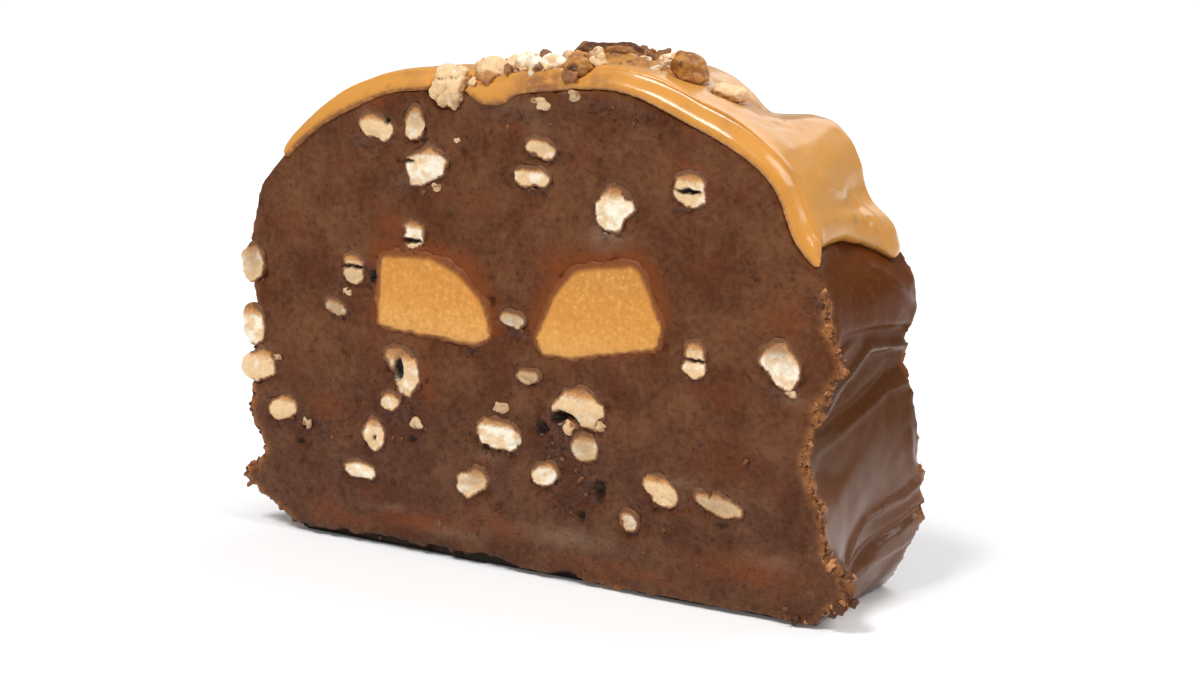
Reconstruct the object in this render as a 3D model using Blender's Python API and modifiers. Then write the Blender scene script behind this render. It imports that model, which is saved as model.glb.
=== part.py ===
"""A thick slice of loaf-shaped chocolate fudge, with nuts and two caramels in it and caramel icing on top.

The slice stands on its flat base, as it was cut from the loaf. +X is across the slice, +Y goes from the front
cut to the back cut, and +Z is up. The origin is at the middle of the base. Lengths are in metres.

A place on the loaf's outer skin is given by its station, the distance along the skin from the right-hand base
corner over the top to the left-hand one, and by its depth behind the front cut.
"""

import math
import random

import bmesh
import bpy
import numpy as np
from mathutils import Matrix, Vector, noise

MM = 0.001

# The slice
WIDTH = 100 * MM
FUDGE_HEIGHT = 75.3 * MM
WALL_HEIGHT = 46.8 * MM
DOME_POWER = 2.2
THICKNESS = 24 * MM
GAP = 0.3 * MM
LOAF_OVERHANG = 2 * MM
SKIN_STATIONS = 88
BASE_STEPS = 8
LOAF_ROWS = 10

# The knife's two cuts
CUT_COLUMNS, CUT_ROWS = 10, 8
CUT_WAVE = 0.35 * MM
CUT_WAVE_LENGTH = 17 * MM
BASE_LAYER_HEIGHT = 14.8 * MM
BASE_LAYER_STEP = 0.35 * MM

# The caramel icing
ICING_THICKNESS = 2.7 * MM
ICING_THIN_END = 0.9 * MM
ICING_RIM = 0.6 * MM
ICING_RIM_REACH = 3 * MM
ICING_PROUD = 0.4 * MM
ICING_COLUMNS, ICING_ROWS = 38, 8
ICING_RIGHT_HEIGHT = 56.0 * MM
ICING_LEFT_HEIGHT = 60.8 * MM

# The pieces set into the fudge
CARAMEL_PROUD = 0.2 * MM
NUT_SIDES, NUT_BANDS = 10, 4
NUT_PROUD = 0.6 * MM
ARCH_THICKNESS = 0.5
NUT_DEPTH_SHARE = 0.55
CRUMB_SIZE = 1.3 * MM

COLOURS = {
    "fudge": ((0.125, 0.052, 0.026), 0.55),
    "icing": ((0.66, 0.32, 0.095), 0.22),
    "filling": ((0.70, 0.33, 0.10), 0.5),
    "nut_flesh": ((0.80, 0.62, 0.38), 0.6),
    "nut_skin": ((0.27, 0.115, 0.035), 0.45),
}


def skin_profile():
    """The nominal skin as arrays: station, point (x, z) and outward normal (x, z)."""
    half = WIDTH / 2
    rise = FUDGE_HEIGHT - WALL_HEIGHT
    heights = np.linspace(0, WALL_HEIGHT, 60, endpoint=False)
    angles = np.linspace(0, math.pi, 600)
    across, up = np.cos(angles), np.sin(angles).clip(0)
    wall = np.column_stack([np.full_like(heights, half), heights])
    dome = np.column_stack(
        [
            half * np.sign(across) * np.abs(across) ** (2 / DOME_POWER),
            WALL_HEIGHT + rise * up ** (2 / DOME_POWER),
        ]
    )
    left_wall = wall[::-1] * [-1, 1]
    points = np.vstack([wall, dome, left_wall])
    steps = np.linalg.norm(np.diff(points, axis=0), axis=1)
    station = np.concatenate([[0], np.cumsum(steps)])
    tangent = np.gradient(points, axis=0)
    normal = np.column_stack([tangent[:, 1], -tangent[:, 0]])
    return station, points, normal / np.linalg.norm(normal, axis=1)[:, None]


STATION, PROFILE, NORMAL = skin_profile()
SKIN_LENGTH = STATION[-1]
TOP = SKIN_LENGTH / 2


def right_at(height):
    """The station of a height on the right-hand side."""
    half = len(STATION) // 2
    return float(np.interp(height, PROFILE[:half, 1], STATION[:half]))


def left_at(height):
    return SKIN_LENGTH - right_at(height)


# Swellings and creases of the skin: station, depth, tilt from the depth axis in degrees,
# half length, half width and height, in mm apart from the station.
SKIN_FORMS = (
    # right-hand wall: an upper bulge, a crease, a broad facet, a second crease and the foot
    (right_at(46.3 * MM), 19, 0, 9, 5.5, 3.0),
    (right_at(38.3 * MM), 19, -6, 7, 1.6, -2.0),
    (right_at(35.3 * MM), 5.5, 30, 8, 1.7, -1.7),
    (right_at(39.3 * MM), 0, 30, 4, 3.2, 2.4),
    (right_at(24.8 * MM), 0, 0, 6, 6, -3.4),
    (right_at(23.8 * MM), 23, 0, 9, 9, 3.2),
    (right_at(12.3 * MM), 15, 30, 9, 1.7, -1.9),
    (right_at(15.8 * MM), 22, 30, 5, 2.4, 1.4),
    (right_at(6.3 * MM), 0.5, 0, 4.2, 2.8, 5.4),
    (right_at(10.8 * MM), 24, 0, 9, 6.5, 3.4),
    (right_at(39.8 * MM), 26, 0, 4, 4, 1.5),
    # right-hand shoulder, pressed in under the icing
    (right_at(58.3 * MM), 12, 0, 30, 6.5, -3.6),
    (right_at(71.0 * MM), 23, 0, 9, 5.5, -3.6),
    # bottom corners, rounded off
    (right_at(0), 12, 0, 30, 2.2, -2.2),
    (left_at(0), 12, 0, 30, 3.8, -7.5),
    # top
    (TOP + 22 * MM, 20, 0, 9, 8, -1.1),
    (TOP + 8 * MM, 6, 0, 14, 11, -2.2),
    (TOP + 9 * MM, 22, 0, 11, 15, -2.2),
    (TOP - 16 * MM, 4, 0, 11, 8, 1.5),
    # left-hand wall
    (left_at(24.8 * MM), 3, 0, 12, 13, 2.7),
    (left_at(44.8 * MM), 2, 0, 9, 6, 2.3),
    (left_at(39.8 * MM), 18, 0, 8, 6, 2.2),
    (left_at(32.3 * MM), 14, -24, 11, 1.7, -1.8),
    (left_at(20.8 * MM), 19, 0, 9, 7, 2.4),
    (left_at(11.8 * MM), 16, -20, 9, 1.7, -1.5),
    (left_at(17.3 * MM), 0, 0, 5, 2.5, 1.2),
    (left_at(13.4 * MM), 0, 0, 4, 1.7, -1.6),
    (left_at(7.2 * MM), 1, 0, 4.5, 2.6, 4.8),
    (left_at(54.8 * MM), 1, 0, 7, 3.5, 1.4),
)

# Nuts that the front cut shows: x, z, width, height, tilt in degrees, lobes and bend in degrees, in mm.
FRONT_NUTS = (
    (-27.4, 66.8, 6.5, 3.8, -12, 2, 40),
    (-20.1, 68.0, 5.4, 3.2, 82, 1, 0),
    (-18.6, 61.6, 8.2, 5.4, 30, 2, 0),
    (2.2, 66.2, 5.4, 2.9, -12, 2, 20),
    (0.6, 61.7, 6.2, 2.9, 4, 2, 0),
    (14.7, 58.5, 7.4, 5.6, 52, 2, 0),
    (27.4, 62.6, 5.2, 5.4, 86, 2, 0),
    (-20.6, 50.7, 4.6, 3.8, 88, 2, 0),
    (-32.2, 44.2, 4.8, 4.0, 84, 2, 0),
    (-35.7, 37.8, 4.4, 2.1, -22, 1, 0),
    (-3.0, 39.8, 4.4, 2.2, -10, 2, 0),
    (-23.0, 29.4, 8.4, 6.0, -58, 3, 120),
    (-25.6, 24.0, 4.0, 3.0, 20, 1, 0),
    (-0.2, 31.2, 4.2, 2.2, 6, 1, 0),
    (28.4, 37.6, 5.6, 3.6, 84, 2, 0),
    (42.5, 38.6, 7.6, 5.6, -50, 2, 0),
    (8.6, 28.0, 9.4, 6.2, -14, 3, 120),
    (9.6, 21.6, 4.6, 4.2, 20, 1, 0),
    (-5.6, 21.5, 8.0, 4.6, -6, 1, 0),
    (-28.9, 18.2, 5.6, 4.0, 84, 3, 0),
    (-31.5, 12.2, 6.2, 2.8, 0, 1, 0),
    (-46.6, 20.1, 6.0, 3.8, 24, 1, 0),
    (-10.4, 13.2, 5.8, 4.2, 30, 2, 0),
    (2.6, 16.4, 5.0, 3.6, 38, 1, 0),
    (22.6, 17.0, 6.6, 4.4, -32, 1, 0),
    (17.6, 11.6, 3.4, 2.9, -60, 1, 0),
    (32.4, 16.4, 8.4, 3.4, -12, 3, 0),
    (-51.6, 43.1, 6.4, 4.0, 78, 1, 0),
    (-51.6, 33.0, 6.6, 4.0, 86, 1, 0),
    (-50.9, 26.4, 7.2, 4.9, 30, 2, 0),
)

# Nuts on the back cut, as on the front one.
BACK_NUTS = (
    (-26.0, 61.3, 6.8, 4.6, 24, 2, 0),
    (3.5, 63.3, 6.0, 3.8, -8, 2, 30),
    (28.5, 57.8, 6.4, 4.6, 60, 2, 0),
    (-37.5, 36.8, 5.4, 3.6, -70, 1, 0),
    (35.5, 32.8, 7.0, 4.4, 44, 2, 60),
    (-18.5, 21.8, 7.6, 4.2, 10, 2, 0),
    (9.5, 24.3, 6.8, 4.4, -34, 1, 0),
    (25.0, 14.3, 6.2, 3.4, 16, 3, 0),
)

# Nuts on the icing: kind, x, depth, height of the middle, size across, front to back and up, tilt, turn and lobes.
TOP_NUTS = (
    ("walnut", -14.4, 1.2, 73.8, 6.4, 4.8, 7.2, -8, 10, 2),
    ("walnut", -8.7, 3.7, 75.8, 5.8, 5.0, 5.6, 8, 20, 1),
    ("walnut", -3.9, 5.9, 76.6, 4.4, 4.6, 5.8, 24, 0, 1),
    ("walnut", 1.2, 5.3, 77.4, 5.1, 4.4, 4.6, 14, -18, 1),
    ("pecan", 7.2, 2.6, 77.6, 5.2, 4.2, 4.2, 0, 12, 1),
    ("pecan", 5.2, 14.2, 78.8, 13.6, 5.0, 3.2, 4, -6, 2),
    ("pecan", 12.8, 8.0, 78.0, 13.2, 5.4, 3.9, -4, 6, 3),
    ("pecan", 22.0, 9.6, 78.2, 6.8, 6.2, 5.3, -14, 30, 1),
    ("walnut", 12.4, 19.4, 77.0, 4.0, 4.0, 3.4, 0, 20, 1),
    ("walnut", 28.2, 10.6, 75.0, 5.8, 4.6, 2.8, -14, 12, 2),
    ("pecan", -4.6, 13.0, 75.9, 5.4, 4.0, 3.2, 10, -18, 1),
    ("walnut", -10.6, 13.4, 75.1, 6.0, 5.0, 4.0, -8, -30, 2),
    ("walnut", -17.4, 18.0, 73.8, 6.0, 4.8, 3.6, 10, -24, 1),
    ("walnut", -7.4, 20.4, 74.6, 5.4, 4.2, 3.6, 0, 40, 1),
    ("pecan", 3.6, 20.4, 75.9, 5.6, 4.0, 3.2, 6, 24, 1),
)

# The two caramels' outlines on the cuts, in mm.
CARAMELS = {
    "caramel_left": (
        (-26.9, 47.2),
        (-17.5, 47.8),
        (-12.6, 46.0),
        (-7.9, 41.8),
        (-6.8, 36.4),
        (-9.4, 35.1),
        (-27.8, 35.8),
    ),
    "caramel_right": (
        (8.2, 49.0),
        (18.2, 50.6),
        (20.0, 49.0),
        (22.8, 42.2),
        (22.2, 38.4),
        (7.0, 35.0),
        (2.0, 35.2),
        (1.2, 38.0),
        (4.4, 44.8),
    ),
}

# Rows of crumbs on the edges of the cuts: side of the slice, lowest and highest place, depth and count, in mm.
CRUMB_ROWS = (
    (right_at, 7.8, 48.8, 0.1, 13),
    (right_at, 7.8, 36.8, 23.8, 6),
    (left_at, 5.8, 11.8, 0.6, 4),
)

# Drips of the icing's lower rims: depth, drop and half width, in mm.
RIGHT_DRIPS = ((0, 2.8, 2.6), (20.5, 5.4, 4.6))
LEFT_DRIPS = ((9.5, 4.5, 4.5), (21.0, 2.0, 3.0))

# Swellings of the icing itself: station, depth, half length, half width and height, in mm apart from the station.
ICING_FORMS = (
    (right_at(66.8 * MM), 19, 7, 4.5, 1.1),
    (right_at(61.3 * MM), 19, 7, 3, -1.2),
    (right_at(56.8 * MM), 15, 7, 3.5, 0.8),
    (right_at(70.8 * MM), 5, 6, 5, 0.6),
    (left_at(68.8 * MM), 3, 8, 5, 0.3),
)


def hill(along, across, tilt, half_length, half_width):
    """A smooth swelling, 1 at its middle, longer one way than the other."""
    turn = math.radians(tilt)
    length = along * math.cos(turn) + across * math.sin(turn)
    width = across * math.cos(turn) - along * math.sin(turn)
    return math.exp(-((length / half_length) ** 2) - (width / half_width) ** 2)


def skin_relief(station, depth):
    """How far the real skin stands outside the nominal one."""
    relief = 0
    for middle, middle_depth, tilt, half_length, half_width, height in SKIN_FORMS:
        along = depth / MM - middle_depth
        across = (station - middle) / MM
        relief += height * MM * hill(along, across, tilt, half_length, half_width)
    return relief


def skin_point(station, depth, out=0):
    """The point this far outside the skin."""
    x, z = (float(np.interp(station, STATION, PROFILE[:, i])) for i in (0, 1))
    nx, nz = (float(np.interp(station, STATION, NORMAL[:, i])) for i in (0, 1))
    reach = skin_relief(station, depth) + out
    return Vector((x + nx * reach, depth - THICKNESS / 2, z + nz * reach))


def face_point(x, depth, z):
    """A point given in mm, by its depth behind the front cut."""
    return Vector((x * MM, depth * MM - THICKNESS / 2, z * MM))


def clear_scene():
    for obj in list(bpy.data.objects):
        bpy.data.objects.remove(obj)


def new_collection(name):
    collection = bpy.data.collections.new(name)
    bpy.context.scene.collection.children.link(collection)
    return collection


def make_material(name):
    colour, roughness = COLOURS[name]
    material = bpy.data.materials.new(name)
    material.use_nodes = True
    shader = material.node_tree.nodes["Principled BSDF"]
    shader.inputs["Base Color"].default_value = (*colour, 1)
    shader.inputs["Roughness"].default_value = roughness
    shader.inputs["Metallic"].default_value = 0
    return material


def object_from(bm, name, collection, material=None):
    """Ends the bmesh as a named object of flat triangles, shaded smooth between its sharper edges."""
    bmesh.ops.triangulate(bm, faces=bm.faces)
    mesh = bpy.data.meshes.new(name)
    bm.to_mesh(mesh)
    bm.free()
    mesh.shade_smooth()
    mesh.set_sharp_from_angle(angle=math.radians(50))
    if material:
        mesh.materials.append(material)
    obj = bpy.data.objects.new(name, mesh)
    collection.objects.link(obj)
    return obj


def as_helper(obj):
    obj.hide_render = True
    obj.display_type = "WIRE"
    return obj


def apply_modifiers(obj):
    """Replaces the object's mesh by what its modifiers make of it."""
    graph = bpy.context.evaluated_depsgraph_get()
    graph.update()
    made = bpy.data.meshes.new_from_object(obj.evaluated_get(graph))
    obj.modifiers.clear()
    obj.data = made
    return obj


def add_boolean(obj, operation, operand):
    """Cuts, joins or intersects with an object or with all of a collection."""
    modifier = obj.modifiers.new(operation.title(), "BOOLEAN")
    modifier.operation = operation
    modifier.solver = "EXACT"
    if isinstance(operand, bpy.types.Collection):
        modifier.operand_type = "COLLECTION"
        modifier.collection = operand
    else:
        modifier.object = operand
    return modifier


def grown(obj, name, collection, by):
    """A helper like obj with its surface moved out by this much."""
    bm = bmesh.new()
    bm.from_mesh(obj.data)
    bm.normal_update()
    for vert, normal in [(v, v.normal.copy()) for v in bm.verts]:
        vert.co += normal * by
    helper = as_helper(object_from(bm, name, collection))
    helper.matrix_world = obj.matrix_world
    return helper


def loft(rings):
    """A closed solid through rings of points that match one to one."""
    bm = bmesh.new()
    loops = [[bm.verts.new(point) for point in ring] for ring in rings]
    for near, far in zip(loops, loops[1:]):
        for i, corner in enumerate(near):
            after = (i + 1) % len(near)
            bm.faces.new((corner, near[after], far[after], far[i]))
    bm.faces.new(loops[0])
    bm.faces.new(loops[-1])
    bmesh.ops.recalc_face_normals(bm, faces=bm.faces)
    return bm


def loaf_ring(depth):
    """The loaf's outline at one depth: over the skin, and back along the flat base."""
    skin = [skin_point(s, depth) for s in np.linspace(0, SKIN_LENGTH, SKIN_STATIONS)]
    start, end = skin[-1], skin[0]
    base = [start.lerp(end, i / BASE_STEPS) for i in range(1, BASE_STEPS)]
    return skin + base


def cut_wave(x, z):
    """How far the knife's cut wanders at a place on it, with a low step at the denser base layer."""
    wave = CUT_WAVE * noise.noise(Vector((x, 0, z)) / CUT_WAVE_LENGTH)
    edge = BASE_LAYER_HEIGHT + 0.03 * x
    step = BASE_LAYER_STEP / (1 + math.exp((z - edge) / (0.8 * MM)))
    return wave - step


def make_cuts(helpers):
    """The slab between the knife's two cuts, wider and higher than the loaf."""
    bm = bmesh.new()
    bmesh.ops.create_grid(bm, x_segments=CUT_COLUMNS, y_segments=CUT_ROWS, size=0.5)
    for vert in bm.verts:
        x = vert.co.x * WIDTH * 1.25
        z = (vert.co.y + 0.5) * FUDGE_HEIGHT * 1.2 - 5 * MM
        vert.co = (x, cut_wave(x, z) - THICKNESS / 2, z)
    slab = as_helper(object_from(bm, "knife_slab", helpers))
    solidify = slab.modifiers.new("Thickness", "SOLIDIFY")
    solidify.thickness = THICKNESS
    solidify.offset = -1
    slab.modifiers.new("Triangles", "TRIANGULATE")
    return slab


def crumb(place, size, turn, helpers, name):
    bm = bmesh.new()
    bmesh.ops.create_icosphere(bm, subdivisions=1, radius=size / 2)
    squash = Matrix.Diagonal((1, 0.75, 1.25, 1))
    bmesh.ops.transform(bm, verts=bm.verts, matrix=turn.to_4x4() @ squash)
    bmesh.ops.translate(bm, verts=bm.verts, vec=place)
    return as_helper(object_from(bm, name, helpers))


def make_crumbs(crumbs):
    """Crumbs torn up along the edges of the cuts."""
    rng = random.Random(11)
    for side, low, high, depth, count in CRUMB_ROWS:
        for i in range(count):
            height = low + (high - low) * (i + rng.uniform(0.2, 0.8)) / count
            place = skin_point(side(height * MM), (depth + rng.uniform(-0.2, 0.2)) * MM, -0.15 * MM)
            size = CRUMB_SIZE * rng.uniform(0.8, 1.5)
            turn = Matrix.Rotation(rng.uniform(0, math.pi), 3, "Y")
            crumb(place, size, turn, crumbs, f"crumb_{depth:.0f}_{i}")


def bend_along(bm, degrees):
    """Bends a piece of unit half length in its own X-Z plane, its ends turning down."""
    if not degrees:
        return
    radius = 2 / math.radians(degrees)
    for vert in bm.verts:
        angle = vert.co.x / radius
        reach = radius + vert.co.z * ARCH_THICKNESS
        vert.co.x = reach * math.sin(angle)
        vert.co.z = reach * math.cos(angle) - radius


def nut_shape(size, lobes, bend, seed):
    """A broken nut: a lump with waists between its lobes and a few flat breaks, sized to fit size."""
    rng = random.Random(seed)
    bm = bmesh.new()
    bmesh.ops.create_uvsphere(bm, u_segments=NUT_SIDES, v_segments=NUT_BANDS, radius=1)
    bmesh.ops.rotate(bm, verts=bm.verts, matrix=Matrix.Rotation(math.radians(90), 3, "X"))
    breaks = [Vector([rng.uniform(-1, 1) for _ in range(3)]).normalized() for _ in range(3)]
    offset = Vector([rng.uniform(0, 50) for _ in range(3)])
    for vert in bm.verts:
        way = vert.co.normalized()
        reach = 1 + 0.22 * noise.noise(way * 1.6 + offset)
        for i in range(1, lobes):
            waist = 2 * i / lobes - 1
            reach *= 1 - 0.3 * math.exp(-(((way.x - waist) / 0.3) ** 2))
        point = way * reach
        for normal in breaks:
            point -= normal * max(0, point.dot(normal) - 0.82)
        vert.co = point
    bend_along(bm, bend)
    low = Vector([min(v.co[i] for v in bm.verts) for i in range(3)])
    high = Vector([max(v.co[i] for v in bm.verts) for i in range(3)])
    for vert in bm.verts:
        vert.co = Vector([(vert.co[i] - (low[i] + high[i]) / 2) * size[i] / (high[i] - low[i]) for i in range(3)])
    return bm


def place_nut(bm, name, place, rotation, parts, sockets, material):
    """Puts a nut in its place and makes the helper that cuts its socket."""
    nut = object_from(bm, name, parts, material)
    nut.matrix_world = Matrix.Translation(place) @ rotation.to_4x4()
    grown(nut, f"socket_{name}", sockets, GAP * 1.3)
    return nut


def make_cut_nuts(rows, prefix, depth, facing, parts, sockets, material):
    """The nuts that one cut shows, sliced through and standing a little proud of it."""
    for i, (x, z, width, height, tilt, lobes, bend) in enumerate(rows):
        thickness = NUT_DEPTH_SHARE * (width + height) * MM
        place = face_point(x, 0, z)
        place.y = depth + cut_wave(place.x, place.z)
        rotation = Matrix.Rotation(math.radians(-tilt), 3, "Y")
        size = (width * MM, thickness, height * MM)
        bm = nut_shape(size, lobes, bend, i)
        nut = place_nut(bm, f"{prefix}_{i + 1:02d}", place, rotation, parts, sockets, material)
        for vert in nut.data.vertices:
            if vert.co.y * facing > 0:
                vert.co.y *= NUT_PROUD / (thickness / 2)


def make_top_nuts(parts, sockets, materials):
    for i, (kind, x, depth, z, across, back, up, tilt, turn, lobes) in enumerate(TOP_NUTS):
        material = materials["nut_skin" if kind == "pecan" else "nut_flesh"]
        rotation = Matrix.Rotation(math.radians(turn), 3, "Z") @ Matrix.Rotation(math.radians(-tilt), 3, "Y")
        size = (across * MM, back * MM, up * MM)
        place = face_point(x, depth, z)
        bm = nut_shape(size, lobes, 0, 40 + i)
        place_nut(bm, f"top_{kind}_{i + 1:02d}", place, rotation, parts, sockets, material)


def make_caramel(name, outline, parts, sockets, material):
    """One caramel, a prism that runs through the slice with its edges softened."""
    curve = bpy.data.curves.new(name, "CURVE")
    curve.dimensions = "2D"
    curve.fill_mode = "BOTH"
    curve.extrude = THICKNESS / 2 + CARAMEL_PROUD
    spline = curve.splines.new("POLY")
    spline.points.add(len(outline) - 1)
    for point, (x, z) in zip(spline.points, outline):
        point.co = (x * MM, z * MM, 0, 1)
    spline.use_cyclic_u = True
    drawn = bpy.data.objects.new(f"{name}_outline", curve)
    drawn.rotation_euler = (math.radians(90), 0, 0)
    parts.objects.link(drawn)
    bpy.context.view_layer.update()
    graph = bpy.context.evaluated_depsgraph_get()
    bm = bmesh.new()
    bm.from_mesh(bpy.data.meshes.new_from_object(drawn.evaluated_get(graph)))
    bmesh.ops.transform(bm, verts=bm.verts, matrix=drawn.matrix_world)
    bpy.data.objects.remove(drawn)
    bmesh.ops.remove_doubles(bm, verts=bm.verts, dist=0.01 * MM)
    bmesh.ops.recalc_face_normals(bm, faces=bm.faces)
    bmesh.ops.dissolve_limit(bm, angle_limit=math.radians(1), verts=bm.verts, edges=bm.edges)
    bmesh.ops.bevel(bm, geom=bm.edges, offset=0.5 * MM, segments=1, affect="EDGES")
    caramel = object_from(bm, name, parts, material)
    socket = grown(caramel, f"socket_{name}", sockets, GAP * 1.3)
    for vert in socket.data.vertices:
        vert.co.y += math.copysign(LOAF_OVERHANG, vert.co.y)
    return caramel


def rim_height(height, drips, depth):
    """The height of the icing's lower rim, with its drips."""
    drop = sum(d * math.exp(-(((depth / MM - middle) / half) ** 2)) for middle, d, half in drips)
    return height - drop * MM


def icing_thickness(station, depth, start, end):
    """The icing's thickness: thin at its far left, swollen here and there, and rounded off at its rims."""
    x = float(np.interp(station, STATION, PROFILE[:, 0]))
    share = min(1, max(0, (x + WIDTH * 0.46) / (WIDTH * 0.2)))
    thickness = ICING_THIN_END + (ICING_THICKNESS - ICING_THIN_END) * share
    for middle, middle_depth, half_depth, half_station, height in ICING_FORMS:
        along = (depth / MM - middle_depth) / half_depth
        across = (station - middle) / MM / half_station
        thickness += height * MM * math.exp(-(along**2) - across**2)
    to_rim = min(station - start, end - station) / ICING_RIM_REACH
    to_cut = min(depth + ICING_PROUD, THICKNESS + ICING_PROUD - depth) / (1.2 * MM)
    for distance in (to_rim, to_cut):
        rounding = math.sqrt(1 - (1 - min(1, max(0, distance))) ** 2)
        thickness = ICING_RIM + (thickness - ICING_RIM) * rounding
    return thickness


def make_icing(parts, material):
    """The caramel icing: a sheet that follows the skin over the top, thickened outwards."""
    bm = bmesh.new()
    bmesh.ops.create_grid(bm, x_segments=ICING_COLUMNS, y_segments=ICING_ROWS, size=0.5)
    weights = []
    most = ICING_THICKNESS * 1.6
    for vert in bm.verts:
        share = vert.co.x + 0.5
        swing = 0.5 - 0.5 * math.cos(math.pi * (vert.co.y + 0.5))
        depth = (THICKNESS + 2 * ICING_PROUD) * (0.5 * swing + 0.5 * (vert.co.y + 0.5)) - ICING_PROUD
        start = right_at(rim_height(ICING_RIGHT_HEIGHT, RIGHT_DRIPS, depth))
        end = left_at(rim_height(ICING_LEFT_HEIGHT, LEFT_DRIPS, depth))
        station = start + (end - start) * share
        weights.append(icing_thickness(station, depth, start, end) / most)
        vert.co = skin_point(station, depth, 1.4 * GAP)
    bm.normal_update()
    if sum(face.normal.z for face in bm.faces) < 0:
        bmesh.ops.reverse_faces(bm, faces=bm.faces)
    icing = object_from(bm, "caramel_icing", parts, material)
    group = icing.vertex_groups.new(name="thickness")
    for i, weight in enumerate(weights):
        group.add([i], weight, "REPLACE")
    solidify = icing.modifiers.new("Thickness", "SOLIDIFY")
    solidify.thickness = most
    solidify.offset = 1
    solidify.vertex_group = group.name
    solidify.use_even_offset = False
    icing.modifiers.new("Triangles", "TRIANGULATE")
    return icing


def make_fudge(parts, helpers, crumbs, sockets, material):
    """The fudge: the loaf between two cuts, with torn crumbs, and sockets for what is set into it."""
    rows = np.linspace(-LOAF_OVERHANG, THICKNESS + LOAF_OVERHANG, LOAF_ROWS + 1)
    fudge = object_from(loft([loaf_ring(depth) for depth in rows]), "fudge", parts, material)
    add_boolean(fudge, "INTERSECT", apply_modifiers(make_cuts(helpers)))
    add_boolean(fudge, "UNION", crumbs)
    add_boolean(fudge, "DIFFERENCE", sockets)
    return fudge


def main():
    clear_scene()
    parts = new_collection("chocolate_fudge_slice")
    helpers = new_collection("helpers")
    crumbs = new_collection("crumbs")
    sockets = new_collection("sockets")
    materials = {name: make_material(name) for name in COLOURS}
    flesh = materials["nut_flesh"]
    half = THICKNESS / 2
    make_cut_nuts(FRONT_NUTS, "front_nut", -half, -1, parts, sockets, flesh)
    make_cut_nuts(BACK_NUTS, "back_nut", half, 1, parts, sockets, flesh)
    make_top_nuts(parts, sockets, materials)
    for name, outline in CARAMELS.items():
        make_caramel(name, outline, parts, sockets, materials["filling"])
    make_crumbs(crumbs)
    make_fudge(parts, helpers, crumbs, sockets, materials["fudge"])
    icing = make_icing(parts, materials["icing"])
    add_boolean(icing, "DIFFERENCE", sockets)


if __name__ == "__main__":
    main()
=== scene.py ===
"""The looks of a thick slice of chocolate fudge, with caramels, nuts and icing, over its solid model.

The file is laid out as an add-on and is run as a script. Lengths are in metres, and in mm in the tables. The
slice stands on z = 0, its front cut faces -Y, and a depth is a distance behind that cut.
"""

import math
import random

import bmesh
import bpy
import numpy as np
from bpy.props import FloatProperty, FloatVectorProperty, IntProperty, PointerProperty
from bpy.types import Operator, Panel, PropertyGroup
from mathutils import Euler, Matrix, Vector, noise
from mathutils.bvhtree import BVHTree
from mathutils.kdtree import KDTree


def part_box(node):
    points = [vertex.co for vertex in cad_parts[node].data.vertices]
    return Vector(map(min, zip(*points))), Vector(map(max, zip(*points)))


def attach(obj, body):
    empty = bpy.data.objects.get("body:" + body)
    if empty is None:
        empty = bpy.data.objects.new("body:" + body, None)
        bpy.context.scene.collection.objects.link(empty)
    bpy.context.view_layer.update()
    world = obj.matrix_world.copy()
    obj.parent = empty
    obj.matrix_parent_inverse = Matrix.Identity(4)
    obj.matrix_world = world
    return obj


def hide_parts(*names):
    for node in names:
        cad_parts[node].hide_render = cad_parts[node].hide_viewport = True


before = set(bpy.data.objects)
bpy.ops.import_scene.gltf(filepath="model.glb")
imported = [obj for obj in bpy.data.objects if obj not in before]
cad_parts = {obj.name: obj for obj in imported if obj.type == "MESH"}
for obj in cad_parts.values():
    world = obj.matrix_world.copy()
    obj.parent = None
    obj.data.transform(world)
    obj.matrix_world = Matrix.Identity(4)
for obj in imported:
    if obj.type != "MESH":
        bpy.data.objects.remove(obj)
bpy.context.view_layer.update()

bl_info = {
    "name": "Chocolate fudge slice",
    "version": (1, 0, 0),
    "blender": (4, 5, 0),
    "location": "3D View > Sidebar > Fudge",
    "description": "Dresses the solid model of a fudge slice and sets its stage",
    "category": "Object",
}

MM = 0.001
HALF_THICKNESS = 12 * MM
FUDGE = "fudge"
ICING = "caramel_icing"
CARAMELS = ("caramel_left", "caramel_right")
CUT_NUTS = sorted(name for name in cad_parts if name.startswith(("front_nut", "back_nut")))
TOP_NUTS = sorted(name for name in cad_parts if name.startswith("top_"))

# Sizes of crumbs and grains, in mm: the smallest, the largest and the commonest.
EDGE_CRUMB_SIZES = (0.2, 0.75, 0.3)
FOOT_CRUMB_SIZES = (0.7, 2.0, 0.9)
GRAIN_SIZES = (0.25, 0.9, 0.35)
NUT_CRUMB_SIZES = (0.6, 3.2, 1.2)

# How far the fudge's surface is moved, in mm.
SKIN_SWELL = 0.3
SKIN_RIPPLE = 0.1
CUT_WAVE = 0.3
CUT_GRAIN = 0.24
CUT_PITS = 0.5
RIM_CRUMBLE = 0.8
TORN_CRUMBLE = 0.8
FOOT_SETBACK = 1.5
HOLLOW_SHARE = 0.8

# How far the icing's surface is moved, and where it sags over the front cut, in mm.
ICING_PRESSED_IN = 0.65
ICING_WAVE = 0.2
BEAD_ROUNDING = 1.3
SAG_X = -6.2
SAG_HALF_WIDTH = 3.4
SAG_DROP = 1.4
LEFT_END_DROP = 0.5
LEFT_END_DRAW = 0.7
FRONT_SWELL = 0.4

# How far the nuts' and the caramels' surfaces are moved, and how far apart furrows are, in mm.
CUT_NUT_RELIEF = 0.24
NUT_SEAT = 0.5
COVER_DEPTH = 0.35
CARAMEL_SEAT = 0.8
FURROW_DEPTH = 0.13
FURROW_WIDTH = 2.4
BIT_RELIEF = 0.1

# Flat faces that the knife cuts on a nut: how many, and how far out they lie, as shares of its half size.
CHOPS = 8
CHOP_REACH = (0.78, 0.98)

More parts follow.
